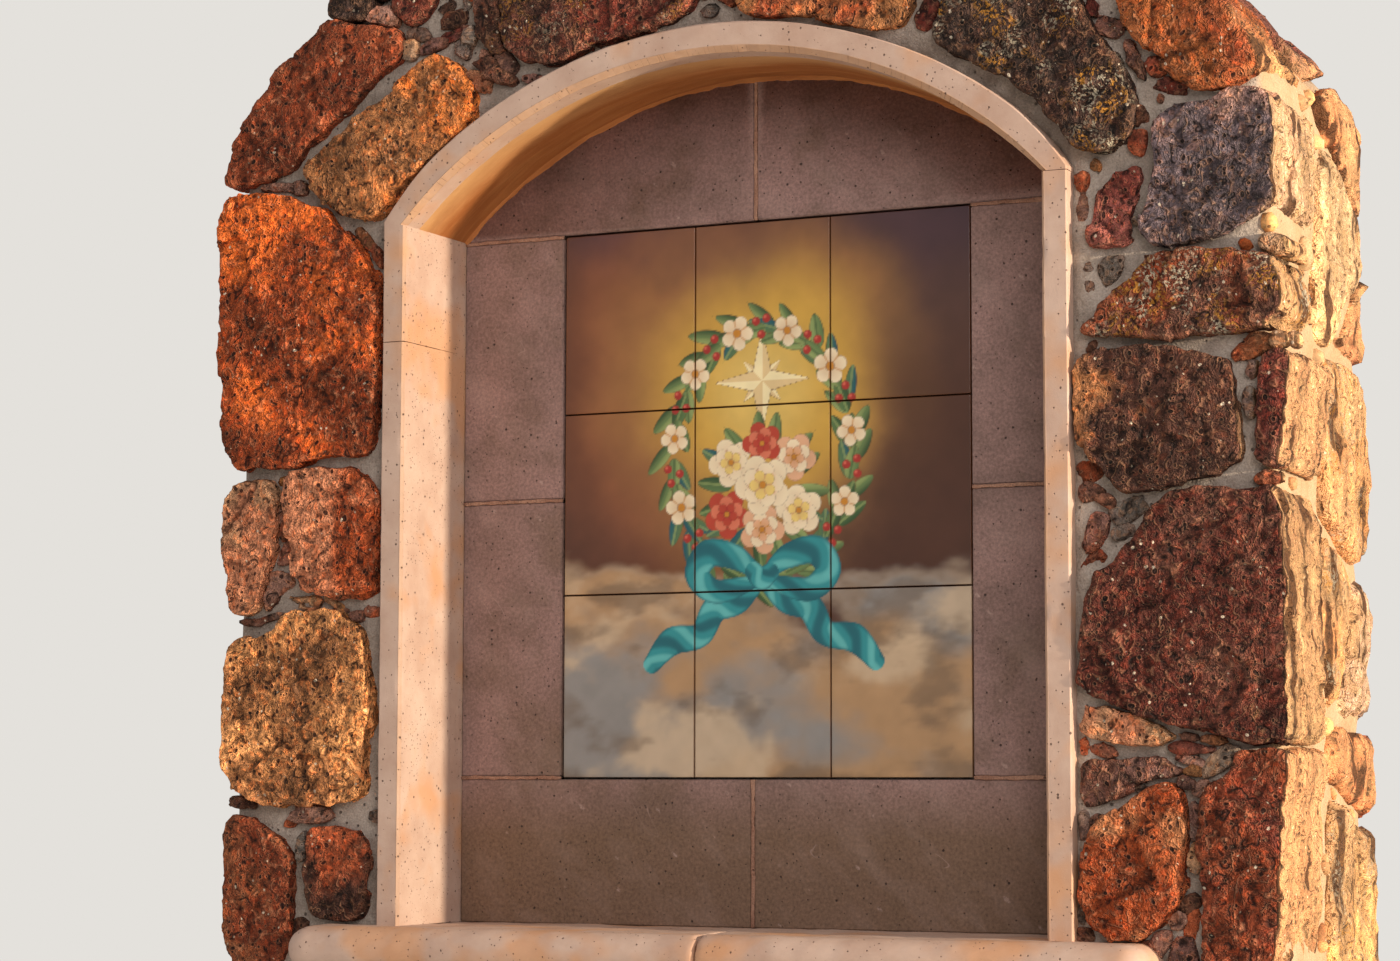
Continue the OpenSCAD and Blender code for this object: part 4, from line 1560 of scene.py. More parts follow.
def layMortar():
    inset = coreSet["inset"]
    y0, y1 = frontY + coreSet["frontInset"], backY - inset
    half, radius = outerX - coreSet["frameLap"], outerRadius - coreSet["frameLap"]
    foot = sillBottom - coreSet["lap"]
    back = [(x, max(z, foot)) for x, z in bodyOutline(coreSet["sideInset"])]
    ring = back + [(-half, foot)] + archLine(half, radius) + [(half, foot)]
    side = halfWidth - coreSet["sideInset"]
    baseTop = sillBottom - 0.004
    baseLine = [(side, 0.0), (side, baseTop), (-side, baseTop), (-side, 0.0)]
    far = outerX + coreSet["collar"]
    collar = [(half, sillTop), (far, sillTop), (far, springZ), (half, springZ)]
    mesh = joinedMesh([
        prismMesh(collar, frontY + coreSet["collarInset"], y0 + 0.05),
        prismMesh(ring, y0, slabBackY + 0.03),
        prismMesh(back, slabBackY + 0.004, y1),
        prismMesh(baseLine, y0, y1),
    ])
    mesh = remeshed(mesh, coreSet["voxel"], coreSet["softening"])
    core = newObject("mortar_core", mesh)
    runTree(core, stoneRelief, coreSet["relief"])
    giveFloat(core.data, "sunlitBleach", sunlitSideMask(core.data))
    finishPiece(core, wallMortar, ("base", "pier_left", "pier_right", "back_wall",
                                             "crown"))
    print("mortar core", len(core.data.polygons), "faces")
    return core.data


mortarMesh = layMortar()


# the dressed frame: jambs and arch swept with their chamfers, and the sill

frameSet = {
    "jambChamfer": 0.0035, "archChamfer": 0.0075, "outerChamfer": 0.0018, "row": 0.008,
    "joint": 0.0008, "leftJoint": 0.790, "archDepth": 0.040, "sillVoxel": 0.0055,
    "sillSoftening": 2, "shoulderFrom": 0.410, "shoulderDrop": 0.0150, "archSteps": 150,
    "beside": 0.0015, "faceRow": 0.005, "backRow": 0.03, "archWear": 1.0, "jambWear": 0.6,
}


def makeDressedRelief():
    # slight unevenness of worked stone, and chips along its arrises
    tree, ends, out = newGroup("dressedRelief", [
        ("Geometry", "NodeSocketGeometry", None), ("Wave", "NodeSocketFloat", 0.0006),
        ("Grain", "NodeSocketFloat", 0.0002), ("Chip", "NodeSocketFloat", 0.003),
    ], [("Geometry", "NodeSocketGeometry")], "GeometryNodeTree")
    place = put(tree, "GeometryNodeInputPosition").outputs[0]
    arris = put(tree, "GeometryNodeInputNamedAttribute", {"Name": "arris"},
                data_type="FLOAT").outputs[0]
    wave = noise(tree, place, 11.0, 2.0)
    grain = noise(tree, place, 90.0, 3.0)
    chips = noise(tree, place, 38.0, 3.0, 0.6)
    chipped = times(tree, remap(tree, chips, 0.56, 0.74), arris)
    total = plus(tree, swing(tree, wave, ends["Wave"]),
                 swing(tree, grain, ends["Grain"]))
    total = minus(tree, total, times(tree, chipped, ends["Chip"]))
    normal = put(tree, "GeometryNodeInputNormal").outputs[0]
    offset = vectorScale(tree, normal, total)
    shaped = put(tree, "GeometryNodeSetPosition", {
        "Geometry": ends["Geometry"], "Offset": offset,
    })
    tree.links.new(shaped.outputs[0], out["Geometry"])
    return tree


dressedRelief = makeDressedRelief()


def spaced(start, end, step):
    return list(np.linspace(start, end, max(2, int(abs(end - start) / step) + 1)))


def frameSection(width, backOf, chamfer):
    # rows of the frame's section: distance out from the opening, depth, and wear of the arris
    s = frameSet
    rows = [(0.0, y, 0.0) for y in spaced(backOf, frameY + chamfer + s["beside"], s["row"])]
    wear = s["archWear" if chamfer == s["archChamfer"] else "jambWear"]
    rows += [(0.0, frameY + chamfer, wear), (chamfer / 2, frameY + chamfer / 2, wear),
             (chamfer, frameY, wear)]
    across = spaced(chamfer + s["beside"], width - s["outerChamfer"], s["faceRow"])
    rows += [(u, frameY, 0.0) for u in across]
    rows += [(width, y, 0.0) for y in spaced(frameY + s["outerChamfer"], backOf, s["backRow"])]
    rows.append((width / 2, backOf, 0.0))
    return rows


def sweptStone(name, stations, width, backOf, chamfer, stands):
    rows = frameSection(width, backOf, chamfer)
    points, arris, along = [], [], []
    travelled = 0.0
    for number, (inner, outer) in enumerate(stations):
        if number:
            travelled += math.dist(inner, stations[number - 1][0])
        along += [travelled] * len(rows)
        for u, y, wear in rows:
            t = u / width
            points.append((inner[0] + (outer[0] - inner[0]) * t, y,
                           inner[1] + (outer[1] - inner[1]) * t))
            arris.append(wear)
    count = len(rows)
    faces = []
    for i in range(len(stations) - 1):
        for k in range(count):
            a, b = i * count + k, i * count + (k + 1) % count
            faces.append((a, b, b + count, a + count))
    for start in (0, (len(stations) - 1) * count):
        hub = len(points)
        points.append(tuple(np.mean(points[start:start + count], axis=0)))
        arris.append(0.0)
        along.append(along[start])
        faces += [(start + (k + 1) % count, start + k, hub, -1) for k in range(count)]
    mesh = meshFromFaces(name, points, faces)
    giveFloat(mesh, "arris", arris)
    giveFloat(mesh, "along", along)
    faceOutward(mesh)
    piece = newObject(name, mesh)
    runTree(piece, dressedRelief, {"Wave": 0.0006, "Grain": 0.00025, "Chip": 0.0016})
    finishPiece(piece, dressedStone, stands, sharpAngle=24)


def makeFrame():
    s = frameSet
    joint = sillTop + s["leftJoint"]
    for node, side, z0, z1 in (
            ("jamb_left_lower", -1, sillTop, joint - s["joint"] / 2),
            ("jamb_left_upper", -1, joint + s["joint"] / 2, springZ),
            ("jamb_right", 1, sillTop, springZ)):
        stations = [((side * innerX, z), (side * outerX, z)) for z in spaced(z0, z1, s["row"])]
        sweptStone(node + "_stone", stations, outerX - innerX, slabBackY, s["jambChamfer"], (node,))
    start = springZ + s["joint"] / 2
    innerLine = archLine(innerX, innerRadius, s["archSteps"])
    outerLine = []
    for x, z in archLine(outerX, outerRadius, s["archSteps"]):
        # the outer edge turns down more steeply at its two shoulders
        part = max(0.0, (abs(x) - s["shoulderFrom"]) / (outerX - s["shoulderFrom"]))
        outerLine.append((x, z - s["shoulderDrop"] * part ** 2))
    between = list(zip(innerLine, outerLine))
    between[0] = ((-innerX, start + 0.0005), outerLine[0])
    between[-1] = ((innerX, start + 0.0005), outerLine[-1])
    stations = [((-innerX, start), (-outerX, start)), *between, ((innerX, start), (outerX, start))]
    sweptStone("arch_frame", stations, bodySet["archFace"], frameY + s["archDepth"],
               s["archChamfer"], ("arch_stone",))


def makeSill():
    for side in ("left", "right"):
        mesh = meshFromBm(weldedCopy("sill_" + side), "sill")
        mesh = remeshed(mesh, frameSet["sillVoxel"], frameSet["sillSoftening"])
        giveFloat(mesh, "arris", np.zeros(len(mesh.vertices)))
        sill = newObject("sill_stone_" + side, mesh)
        runTree(sill, dressedRelief, {"Wave": 0.0012, "Grain": 0.0004, "Chip": 0.0})
        finishPiece(sill, dressedStone, ("sill_" + side,))


makeFrame()
makeSill()
print("frame and sill made")


# the plastered soffit, the back slabs and the pointing between them

soffitSet = {
    "thickness": 0.022, "row": 0.008, "wave": 0.0012, "lap": 0.005, "least": 0.0015,
    "ragged": 0.0012, "seed": 13,
}


def plasterEdge(line):
    # the plaster's ragged edge, trowelled a little way over the slabs
    s = soffitSet
    rng = random.Random(s["seed"])
    points, faces, drift = [], [], 0.0
    for x, z in line:
        drift = 0.75 * drift + rng.uniform(-1, 1) * s["ragged"]
        reach = max(s["least"], s["lap"] + drift)
        inward = Vector((-x, archCentre - z)).normalized()
        for t, lift in ((-0.002, -0.003), (-0.002, 0.004), (reach * 0.5, 0.0022),
                        (reach, 0.0004), (reach, -0.003)):
            points.append((x + inward.x * t, slabY - lift, z + inward.y * t))
    for i in range(len(line) - 1):
        for k in range(5):
            p, q = i * 5 + k, i * 5 + (k + 1) % 5
            faces.append((p, q, q + 5, p + 5))
    for start in (0, (len(line) - 1) * 5):
        faces.append((start, start + 1, start + 2, start + 3))
        faces.append((start, start + 3, start + 4, -1))
    return points, faces


def makeSoffit():
    # a shell of plaster from the arch stone back to the slabs
    line = archLine(innerX, innerRadius, frameSet["archSteps"])
    outer = archLine(innerX + 0.02, innerRadius + soffitSet["thickness"], frameSet["archSteps"])
    depths = spaced(frameY + frameSet["archDepth"] - 0.001, slabY + 0.004, soffitSet["row"])
    count = len(depths)
    points = [(x, y, z) for x, z in line for y in depths]
    points += [(x, y, z) for x, z in outer for y in depths]
    half = len(line) * count
    faces = []
    for i in range(len(line) - 1):
        for k in range(count - 1):
            a = i * count + k
            faces.append((a, a + 1, a + count + 1, a + count))
            faces.append((half + a, half + a + count, half + a + count + 1, half + a + 1))
        for k in (0, count - 1):
            a = i * count + k
            faces.append((a, a + count, half + a + count, half + a))
    for i in (0, len(line) - 1):
        for k in range(count - 1):
            a = i * count + k
            faces.append((a, a + 1, half + a + 1, half + a))
    more, quads = plasterEdge(line)
    faces += [tuple(v + len(points) if v >= 0 else -1 for v in quad) for quad in quads]
    points += more
    mesh = meshFromFaces("soffit_plaster", points, faces)
    giveFloat(mesh, "arris", np.zeros(len(points)))
    faceOutward(mesh)
    soffit = newObject("soffit_plaster", mesh)
    runTree(soffit, dressedRelief, {"Wave": soffitSet["wave"], "Grain": 0.0003, "Chip": 0.0})
    finishPiece(soffit, trowelledPlaster, ("arch_soffit",), sharpAngle=50)


slabSet = {"bevel": 0.0014, "sharpFrom": 0.6}


def makeSlabs():
    for name in [n for n in nodes if n.startswith("slab_")]:
        bm = weldedCopy(name)
        bmesh.ops.dissolve_limit(bm, angle_limit=math.radians(1), verts=bm.verts, edges=bm.edges)
        sharp = [e for e in bm.edges if e.calc_face_angle(0) > slabSet["sharpFrom"]]
        bmesh.ops.bevel(bm, geom=sharp, offset=slabSet["bevel"], segments=2, affect="EDGES")
        slab = newObject(name + "_stone", meshFromBm(bm, name))
        finishPiece(slab, backSlab, (name,), sharpAngle=30)


pointingSet = {
    "joint": 0.0034, "proud": 0.0005, "step": 0.006, "ragged": 0.0016, "seed": 7,
    "lunetteX": -0.008, "footX": -0.012, "leftZ": 0.580, "rightZ": 0.576,
}


def pointingStrip(a, b, rng):
    # a bead of mortar along a slab joint, with ragged edges smeared over the slabs
    s = pointingSet
    count = max(2, int(math.dist(a, b) / s["step"]))
    along = (Vector(b) - Vector(a)).normalized()
    across = Vector((-along.y, along.x))
    points, faces = [], []
    drift = [0.0, 0.0]
    for i in range(count + 1):
        centre = Vector(a).lerp(Vector(b), i / count)
        for k in (0, 1):
            drift[k] = 0.7 * drift[k] + rng.uniform(-1, 1) * s["ragged"] * 0.6
        low = -s["joint"] / 2 - abs(drift[0])
        high = s["joint"] / 2 + abs(drift[1])
        for t, lift in ((low, -0.004), (low * 0.98, 0.0002), (low * 0.5, s["proud"]),
                        (high * 0.5, s["proud"]), (high * 0.98, 0.0002), (high, -0.004)):
            spot = centre + across * t
            points.append((spot.x, slabY - lift, spot.y))
    for i in range(count):
        for k in range(6):
            p, q = i * 6 + k, i * 6 + (k + 1) % 6
            faces.append((p, q, q + 6, p + 6))
    for start in (0, count * 6):
        for k in (0, 1):
            faces.append((start + k, start + k + 1, start + 4 - k, start + 5 - k))
    return points, faces


def makePointing():
    s = pointingSet
    rng = random.Random(s["seed"])
    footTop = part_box("slab_foot_left")[1][2]
    columnLow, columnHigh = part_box("slab_left_lower")[0][2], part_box("slab_left_upper")[1][2]
    columnX = -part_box("slab_left_lower")[1][0]
    lunetteLow = slabLow[2]
    crownTop = archCentre + innerRadius
    lines = [
        ((s["lunetteX"], lunetteLow), (s["lunetteX"], crownTop)),
        ((s["footX"], sillTop), (s["footX"], footTop)),
        ((-innerX, sillTop + s["leftZ"]), (-columnX, sillTop + s["leftZ"])),
        ((columnX, sillTop + s["rightZ"]), (innerX, sillTop + s["rightZ"])),
    ]
    for side in (-1, 1):
        near, far = sorted((side * columnX, side * innerX))
        lines.append(((near, (footTop + columnLow) / 2), (far, (footTop + columnLow) / 2)))
        lines.append(((near, (columnHigh + lunetteLow) / 2), (far, (columnHigh + lunetteLow) / 2)))
    points, faces = [], []
    for a, b in lines:
        more, quads = pointingStrip(a, b, rng)
        faces += [tuple(v + len(points) for v in quad) for quad in quads]
        points += more
    mesh = meshFromFaces("slab_pointing", points, faces)
    faceOutward(mesh)
    piece = newObject("slab_pointing", mesh)
    finishPiece(piece, pointing)


makeSoffit()
makeSlabs()
makePointing()
nodes["tile_bed"].material_slots[0].material = tileGrout
print("soffit, slabs and pointing made")


# the tile panel with its painted wreath

panelSet = {
    "grid": 0.002, "coarse": 0.0045, "fineX": (-0.188, 0.188), "fineV": (0.135, 0.650),
    "edge": 0.0009, "glowZ": 0.520, "seed": 5,
    "wreath": (0.0, 0.435, 0.132, 0.170),
}
paint = {name: np.array(tone(code)[:3]) for name, code in {
    "night": "3b2830", "brown": "835034", "greyBrown": "563a31", "umber": "4c2c1c",
    "amber": "a87a44", "gold": "cfa446", "light": "ecd07a", "peach": "e3b08c",
    "violet": "47303c", "cloudTan": "b08d68", "cloudGrey": "8d8a88", "cloudLight": "c9b296",
    "cloudDark": "6c5a4a", "leaf": "5d7a4a", "leafDark": "33502f", "leafLight": "93a566",
    "rose": "b8442f", "roseLight": "d9795c", "petal": "f0dfbe", "petalShade": "cf9f6f",
    "heart": "c8862c", "berry": "a8322a", "berryLight": "e0705a", "teal": "2f8f97",
    "tealDark": "175a68", "tealLight": "6cc4c4", "star": "fdf0c0", "starEdge": "c4892f",
    "outline": "6b3f26",
}.items()}


def latticeNoise(u, v, scale, seed):
    # smooth value noise on a seeded lattice
    rng = np.random.default_rng(seed)
    lattice = rng.random((64, 64))
    x, y = u * scale + 17.3, v * scale + 9.1
    i, k = np.floor(x).astype(int), np.floor(y).astype(int)
    fx, fy = x - i, y - k
    fx, fy = fx * fx * (3 - 2 * fx), fy * fy * (3 - 2 * fy)
    a, b = lattice[i % 64, k % 64], lattice[(i + 1) % 64, k % 64]
    c, d = lattice[i % 64, (k + 1) % 64], lattice[(i + 1) % 64, (k + 1) % 64]
    return (a * (1 - fx) + b * fx) * (1 - fy) + (c * (1 - fx) + d * fx) * fy


def cloudNoise(u, v, scale, seed, octaves=5):
    total, weight = 0.0, 0.0
    for i in range(octaves):
        total = total + latticeNoise(u, v, scale * 2 ** i, seed + i) * 0.5 ** i
        weight += 0.5 ** i
    return total / weight


def smooth(value, low, high):
    t = np.clip((value - low) / (high - low), 0.0, 1.0)
    return t * t * (3 - 2 * t)


def over(base, colour, mask):
    return base * (1 - mask[:, None]) + colour * mask[:, None]


def paintLeaf(picture, u, v, x, y, angle, length, width, tones):
    du, dv = u - x, v - y
    t = (du * math.cos(angle) + dv * math.sin(angle)) / length
    w = -du * math.sin(angle) + dv * math.cos(angle)
    near = (t > -0.1) & (t < 1.1) & (np.abs(w) < width)
    t, w = t[near], w[near]
    half = width / 2 * np.sqrt(np.clip(np.sin(np.pi * np.clip(t, 0, 1) ** 0.8), 0, 1))
    mask = smooth(half - np.abs(w), -0.0006, 0.0008) * smooth(t, -0.02, 0.03)
    side = smooth(w / width, -0.5, 0.5)
    shade = paint[tones[0]] * (1 - side[:, None]) + paint[tones[1]] * side[:, None]
    vein = smooth(0.0016 - np.abs(w), -0.0008, 0.0006) * 0.6
    shade = over(shade, paint[tones[2]], vein)
    rim = smooth(0.0018 - (half - np.abs(w)), 0.0, 0.0012) * 0.5
    shade = over(shade, paint["outline"], rim)
    picture[near] = over(picture[near], shade, mask)


def paintBlossom(picture, u, v, x, y, radius, turn, tones=("petal", "petalShade", "heart")):
    du, dv = u - x, v - y
    r = np.hypot(du, dv)
    near = r < radius * 1.2
    r, a = r[near], np.arctan2(dv[near], du[near]) + turn
    wave = np.abs(np.sin(2.5 * a))
    edge = radius * (0.62 + 0.38 * wave ** 0.6)
    mask = smooth(edge - r, -0.0006, 0.001)
    fold = smooth(1 - wave, 0.55, 1.0) * 0.8
    shade = paint[tones[0]] + np.zeros((len(r), 3))
    shaded = np.clip(fold + smooth(r, radius, radius * 0.2) * 0.35, 0, 1)
    shade = over(shade, paint[tones[1]], shaded)
    shade = over(shade, paint["outline"], smooth(0.0014 - (edge - r), 0.0, 0.0012) * 0.6)
    heart = smooth(radius * 0.24 - r, -0.0008, 0.0008)
    shade = over(shade, paint[tones[2]], heart)
    rim = smooth(0.0012 - np.abs(r - radius * 0.25), 0, 0.001)
    shade = over(shade, paint["outline"], rim * 0.5)
    picture[near] = over(picture[near], shade, mask)


def paintRose(picture, u, v, x, y, radius, turn, dressed):
    # an open rose: rings of petals, each smaller and turned from the last
    tones = {
        "cream": (("petal", "petalShade"), ("petal", "peach"), ("light", "petalShade")),
        "blush": (("peach", "petalShade"), ("petal", "peach"), ("peach", "heart")),
        "rose": (("rose", "berry"), ("roseLight", "rose"), ("rose", "berry")),
    }[dressed]
    for ring, (size, pair) in enumerate(zip((1.0, 0.74, 0.48), tones)):
        paintBlossom(picture, u, v, x, y, radius * size, turn + ring * 0.65, pair + ("heart",))


def paintBerry(picture, u, v, x, y, radius):
    r = np.hypot(u - x, v - y)
    shine = np.hypot(u - x + radius * 0.35, v - y - radius * 0.35)
    near = r < radius * 1.3
    mask = smooth(radius - r[near], -0.0006, 0.0008)
    shade = paint["berry"] + np.zeros((near.sum(), 3))
    shade = over(shade, paint["berryLight"], smooth(shine[near], radius * 0.6, 0.0))
    shade = over(shade, paint["outline"], smooth(r[near], radius * 0.75, radius) * 0.6)
    picture[near] = over(picture[near], shade, mask)


def paintRibbon(picture, u, v, line, widths, folds):
    # a ribbon along a line, with its folds shaded across and along it
    line = np.array(line)
    reach = np.concatenate(([0], np.cumsum(np.hypot(*np.diff(line, axis=0).T))))
    best = np.full(len(u), 9.0)
    at, side = np.zeros(len(u)), np.zeros(len(u))
    for i in range(len(line) - 1):
        ax, ay = line[i]
        dx, dy = line[i + 1] - line[i]
        length = math.hypot(dx, dy)
        t = np.clip(((u - ax) * dx + (v - ay) * dy) / length ** 2, 0, 1)
        ex, ey = u - ax - t * dx, v - ay - t * dy
        gap = np.hypot(ex, ey)
        closer = gap < best
        best = np.where(closer, gap, best)
        at = np.where(closer, (reach[i] + t * length) / reach[-1], at)
        side = np.where(closer, (dx * ey - dy * ex) / length, side)
    half = np.interp(at, np.linspace(0, 1, len(widths)), widths) / 2
    mask = smooth(half - best, -0.0006, 0.0008)
    across = side / half
    wave = 0.5 + 0.5 * np.sin(at * folds * 2 * math.pi + across * 1.8)
    shade = paint["teal"] + np.zeros((len(u), 3))
    shade = over(shade, paint["tealDark"], smooth(wave, 0.45, 0.0) * 0.85)
    shade = over(shade, paint["tealLight"], smooth(wave, 0.72, 1.0) * 0.7)
    shade = over(shade, paint["tealDark"], smooth(np.abs(across), 0.72, 1.0) * 0.75)
    picture[:] = over(picture, shade, mask)


def curve(points, steps=14):
    # a smooth line through the points
    ends = [points[0]] + list(points) + [points[-1]]
    line = []
    for p0, p1, p2, p3 in zip(ends, ends[1:], ends[2:], ends[3:]):
        for i in range(steps):
            t = i / steps
            line.append(tuple(0.5 * (
                2 * p1[k] + (p2[k] - p0[k]) * t + (2 * p0[k] - 5 * p1[k] + 4 * p2[k] - p3[k]) * t * t
                + (3 * p1[k] - p0[k] - 3 * p2[k] + p3[k]) * t ** 3) for k in (0, 1)))
    return line + [tuple(points[-1])]


def paintPanel(u, v):
    # u across from the middle, v up from the foot of the panel, both in metres
    s = panelSet
    rng = random.Random(s["seed"])
    fromGlow = np.hypot(u * 1.05, v - s["glowZ"])
    haze = cloudNoise(u, v, 6.0, 11) - 0.5
    aside = smooth(u + haze * 0.2, -0.06, 0.20)[:, None]
    picture = paint["night"] + np.zeros((len(u), 3))
    warm = paint["brown"] * (1 - aside) + paint["greyBrown"] * aside
    picture = over(picture, warm, smooth(fromGlow + haze * 0.16, 0.50, 0.27))
    dusk = smooth(u + haze * 0.2, 0.08, 0.19) * smooth(v + haze * 0.2, 0.66, 0.48)
    picture = over(picture, paint["umber"], dusk * 0.8)
    picture = over(picture, paint["umber"], smooth(0.36 - v + haze * 0.1, 0.0, 0.12) * 0.75)
    lit = 1 - dusk * 0.75
    picture = over(picture, paint["amber"], smooth(fromGlow + haze * 0.12, 0.31, 0.13) * 0.82 * lit)
    picture = over(picture, paint["gold"], smooth(fromGlow + haze * 0.05, 0.215, 0.10) * 0.95 * lit)
    topEdge = smooth(v + haze * 0.14, 0.640, 0.748) * (0.4 + 0.6 * smooth(np.abs(u), 0.06, 0.24))
    picture = over(picture, paint["violet"], topEdge * 0.7)
    picture = over(picture, paint["umber"], smooth(haze * 0.1 - u, 0.225, 0.30) * 0.5)
    picture = over(picture, paint["light"], smooth(fromGlow, 0.12, 0.03) * 0.55)
    # clouds at the foot
    billow = cloudNoise(u, v * 1.6, 7.0, 23)
    top = 0.235 + 0.05 * smooth(np.abs(u), 0.06, 0.28) + (billow - 0.5) * 0.16
    cloudMask = smooth(top - v, -0.012, 0.035)
    shade = paint["cloudTan"] + np.zeros((len(u), 3))
    shade = over(shade, paint["cloudGrey"], smooth(cloudNoise(u, v * 1.5, 5.0, 31), 0.42, 0.66))
    light = smooth(cloudNoise(u, v * 1.4, 9.0, 43), 0.52, 0.72)
    dark = smooth(cloudNoise(u, v * 1.8, 11.0, 57), 0.46, 0.28)
    shade = over(shade, paint["cloudLight"], light * 0.8)
    shade = over(shade, paint["cloudDark"], dark * 0.6)
    shade = over(shade, paint["cloudLight"], smooth(0.02 - np.abs(top - v - 0.01), 0.0, 0.02) * 0.5)
    picture = over(picture, shade, cloudMask)
    # star with eight points above the bouquet
    dv = v - s["glowZ"] - 0.012
    r, a = np.hypot(u, dv), np.arctan2(dv, u)
    for points, turn, size, thin in ((4, math.pi / 4, 0.040, 0.34), (4, 0.0, 0.072, 0.24)):
        sector = math.pi / points
        local = np.abs((a + turn + sector) % (2 * sector) - sector)
        edge = size * thin / (np.sin(local) + thin * np.cos(local) + 1e-6)
        gap = edge - r
        ray = smooth(gap, -0.0008, 0.0010)
        body = paint["star"] + np.zeros((len(u), 3))
        half = ((a + turn) % (2 * sector)) > sector
        body = over(body, paint["starEdge"], np.where(half, 0.45, 0.08))
        body = over(body, paint["outline"], smooth(0.0022 - gap, 0.0, 0.0014) * 0.85)
        picture = over(picture, body, ray)
    # wreath
    cx, cy, rx, ry = s["wreath"]
    leafTones = (("leafDark", "leaf", "leafLight"), ("leaf", "leafLight", "leafDark"),
                 ("leafDark", "leafLight", "leaf"), ("tealDark", "leaf", "leafLight"))
    for ring, (grow, lean) in enumerate(((0.0, 0.55), (0.05, -0.55), (-0.02, 0.1))):
        for i in range(24):
            t = 2 * math.pi * (i + 0.5 * (ring % 2)) / 24 + rng.uniform(-0.04, 0.04)
            x, y = cx + (rx + grow * 0.06) * math.cos(t), cy + (ry + grow * 0.06) * math.sin(t)
            along = math.atan2(ry * math.cos(t), -rx * math.sin(t))
            paintLeaf(picture, u, v, x, y, along + lean + rng.uniform(-0.15, 0.15),
                      rng.uniform(0.042, 0.056), rng.uniform(0.017, 0.022), rng.choice(leafTones))
    for i in range(11):
        t = 2 * math.pi * (i + 0.25) / 11
        x, y = cx + rx * math.cos(t), cy + ry * math.sin(t)
        if math.sin(t) > -0.80:
            paintBlossom(picture, u, v, x, y, rng.uniform(0.021, 0.026), rng.uniform(0, 6))
        for k in range(3 if math.sin(t + 0.3) > -0.80 else 0):
            b = t + 0.24 + 0.055 * k
            grow = 1.0 + (0.07, -0.06, 0.05)[k]
            paintBerry(picture, u, v, cx + rx * grow * math.cos(b), cy + ry * grow * math.sin(b),
                       0.0062)
    # bouquet of large roses inside the wreath, on its own leaves
    for i in range(15):
        t = 2 * math.pi * i / 15
        paintLeaf(picture, u, v, cx + 0.045 * math.cos(t), cy - 0.055 + 0.055 * math.sin(t),
                  t + rng.uniform(-0.2, 0.2), rng.uniform(0.050, 0.062), 0.022,
                  rng.choice(leafTones))
    for x, y, radius, dressed in (
            (-0.046, -0.012, 0.034, "cream"), (0.047, -0.008, 0.033, "blush"),
            (0.000, 0.012, 0.030, "rose"), (-0.052, -0.082, 0.034, "rose"),
            (0.054, -0.080, 0.035, "cream"), (0.000, -0.104, 0.034, "blush"),
            (0.001, -0.044, 0.042, "cream")):
        paintRose(picture, u, v, cx + x, cy + y, radius, rng.uniform(0, 6), dressed)
    # ribbon and bow
    foot = cy - ry
    for side in (-1, 1):
        tail = curve([(0.0, foot), (side * 0.036, foot - 0.030), (side * 0.070, foot - 0.040),
                      (side * 0.092, foot - 0.074), (side * 0.134, foot - 0.082),
                      (side * 0.164, foot - 0.112)])
        paintRibbon(picture, u, v, tail, (0.018, 0.034, 0.038, 0.034, 0.040, 0.026), 3.4)
        loop = curve([(0.0, foot), (side * 0.036, foot + 0.028), (side * 0.078, foot + 0.036),
                      (side * 0.096, foot + 0.008), (side * 0.066, foot - 0.016), (0.0, foot)])
        paintRibbon(picture, u, v, loop, (0.014, 0.034, 0.040, 0.036, 0.030, 0.014), 2.2)
    knot = curve([(-0.012, foot + 0.010), (0.0, foot), (0.012, foot + 0.008)])
    paintRibbon(picture, u, v, knot, (0.026, 0.032, 0.026), 0.8)
    brush = cloudNoise(u, v, 40.0, 71, 3) - 0.5
    return np.clip(picture * (1 + brush[:, None] * 0.22), 0, 1)


def tileRows(low, high, fine):
    # rows across a tile: close in the painted middle, wider outside it, narrow at the edge
    s = panelSet
    start, end = low + s["edge"], high - s["edge"]
    marks = [start] + [m for m in fine if start + 0.004 < m < end - 0.004] + [end]
    rows = [low, low + s["edge"] * 0.35]
    for a, b in zip(marks, marks[1:]):
        close = fine[0] < (a + b) / 2 < fine[1]
        rows += list(spaced(a, b, s["grid" if close else "coarse"]))[:-1]
    return rows + [end, high - s["edge"] * 0.35, high]


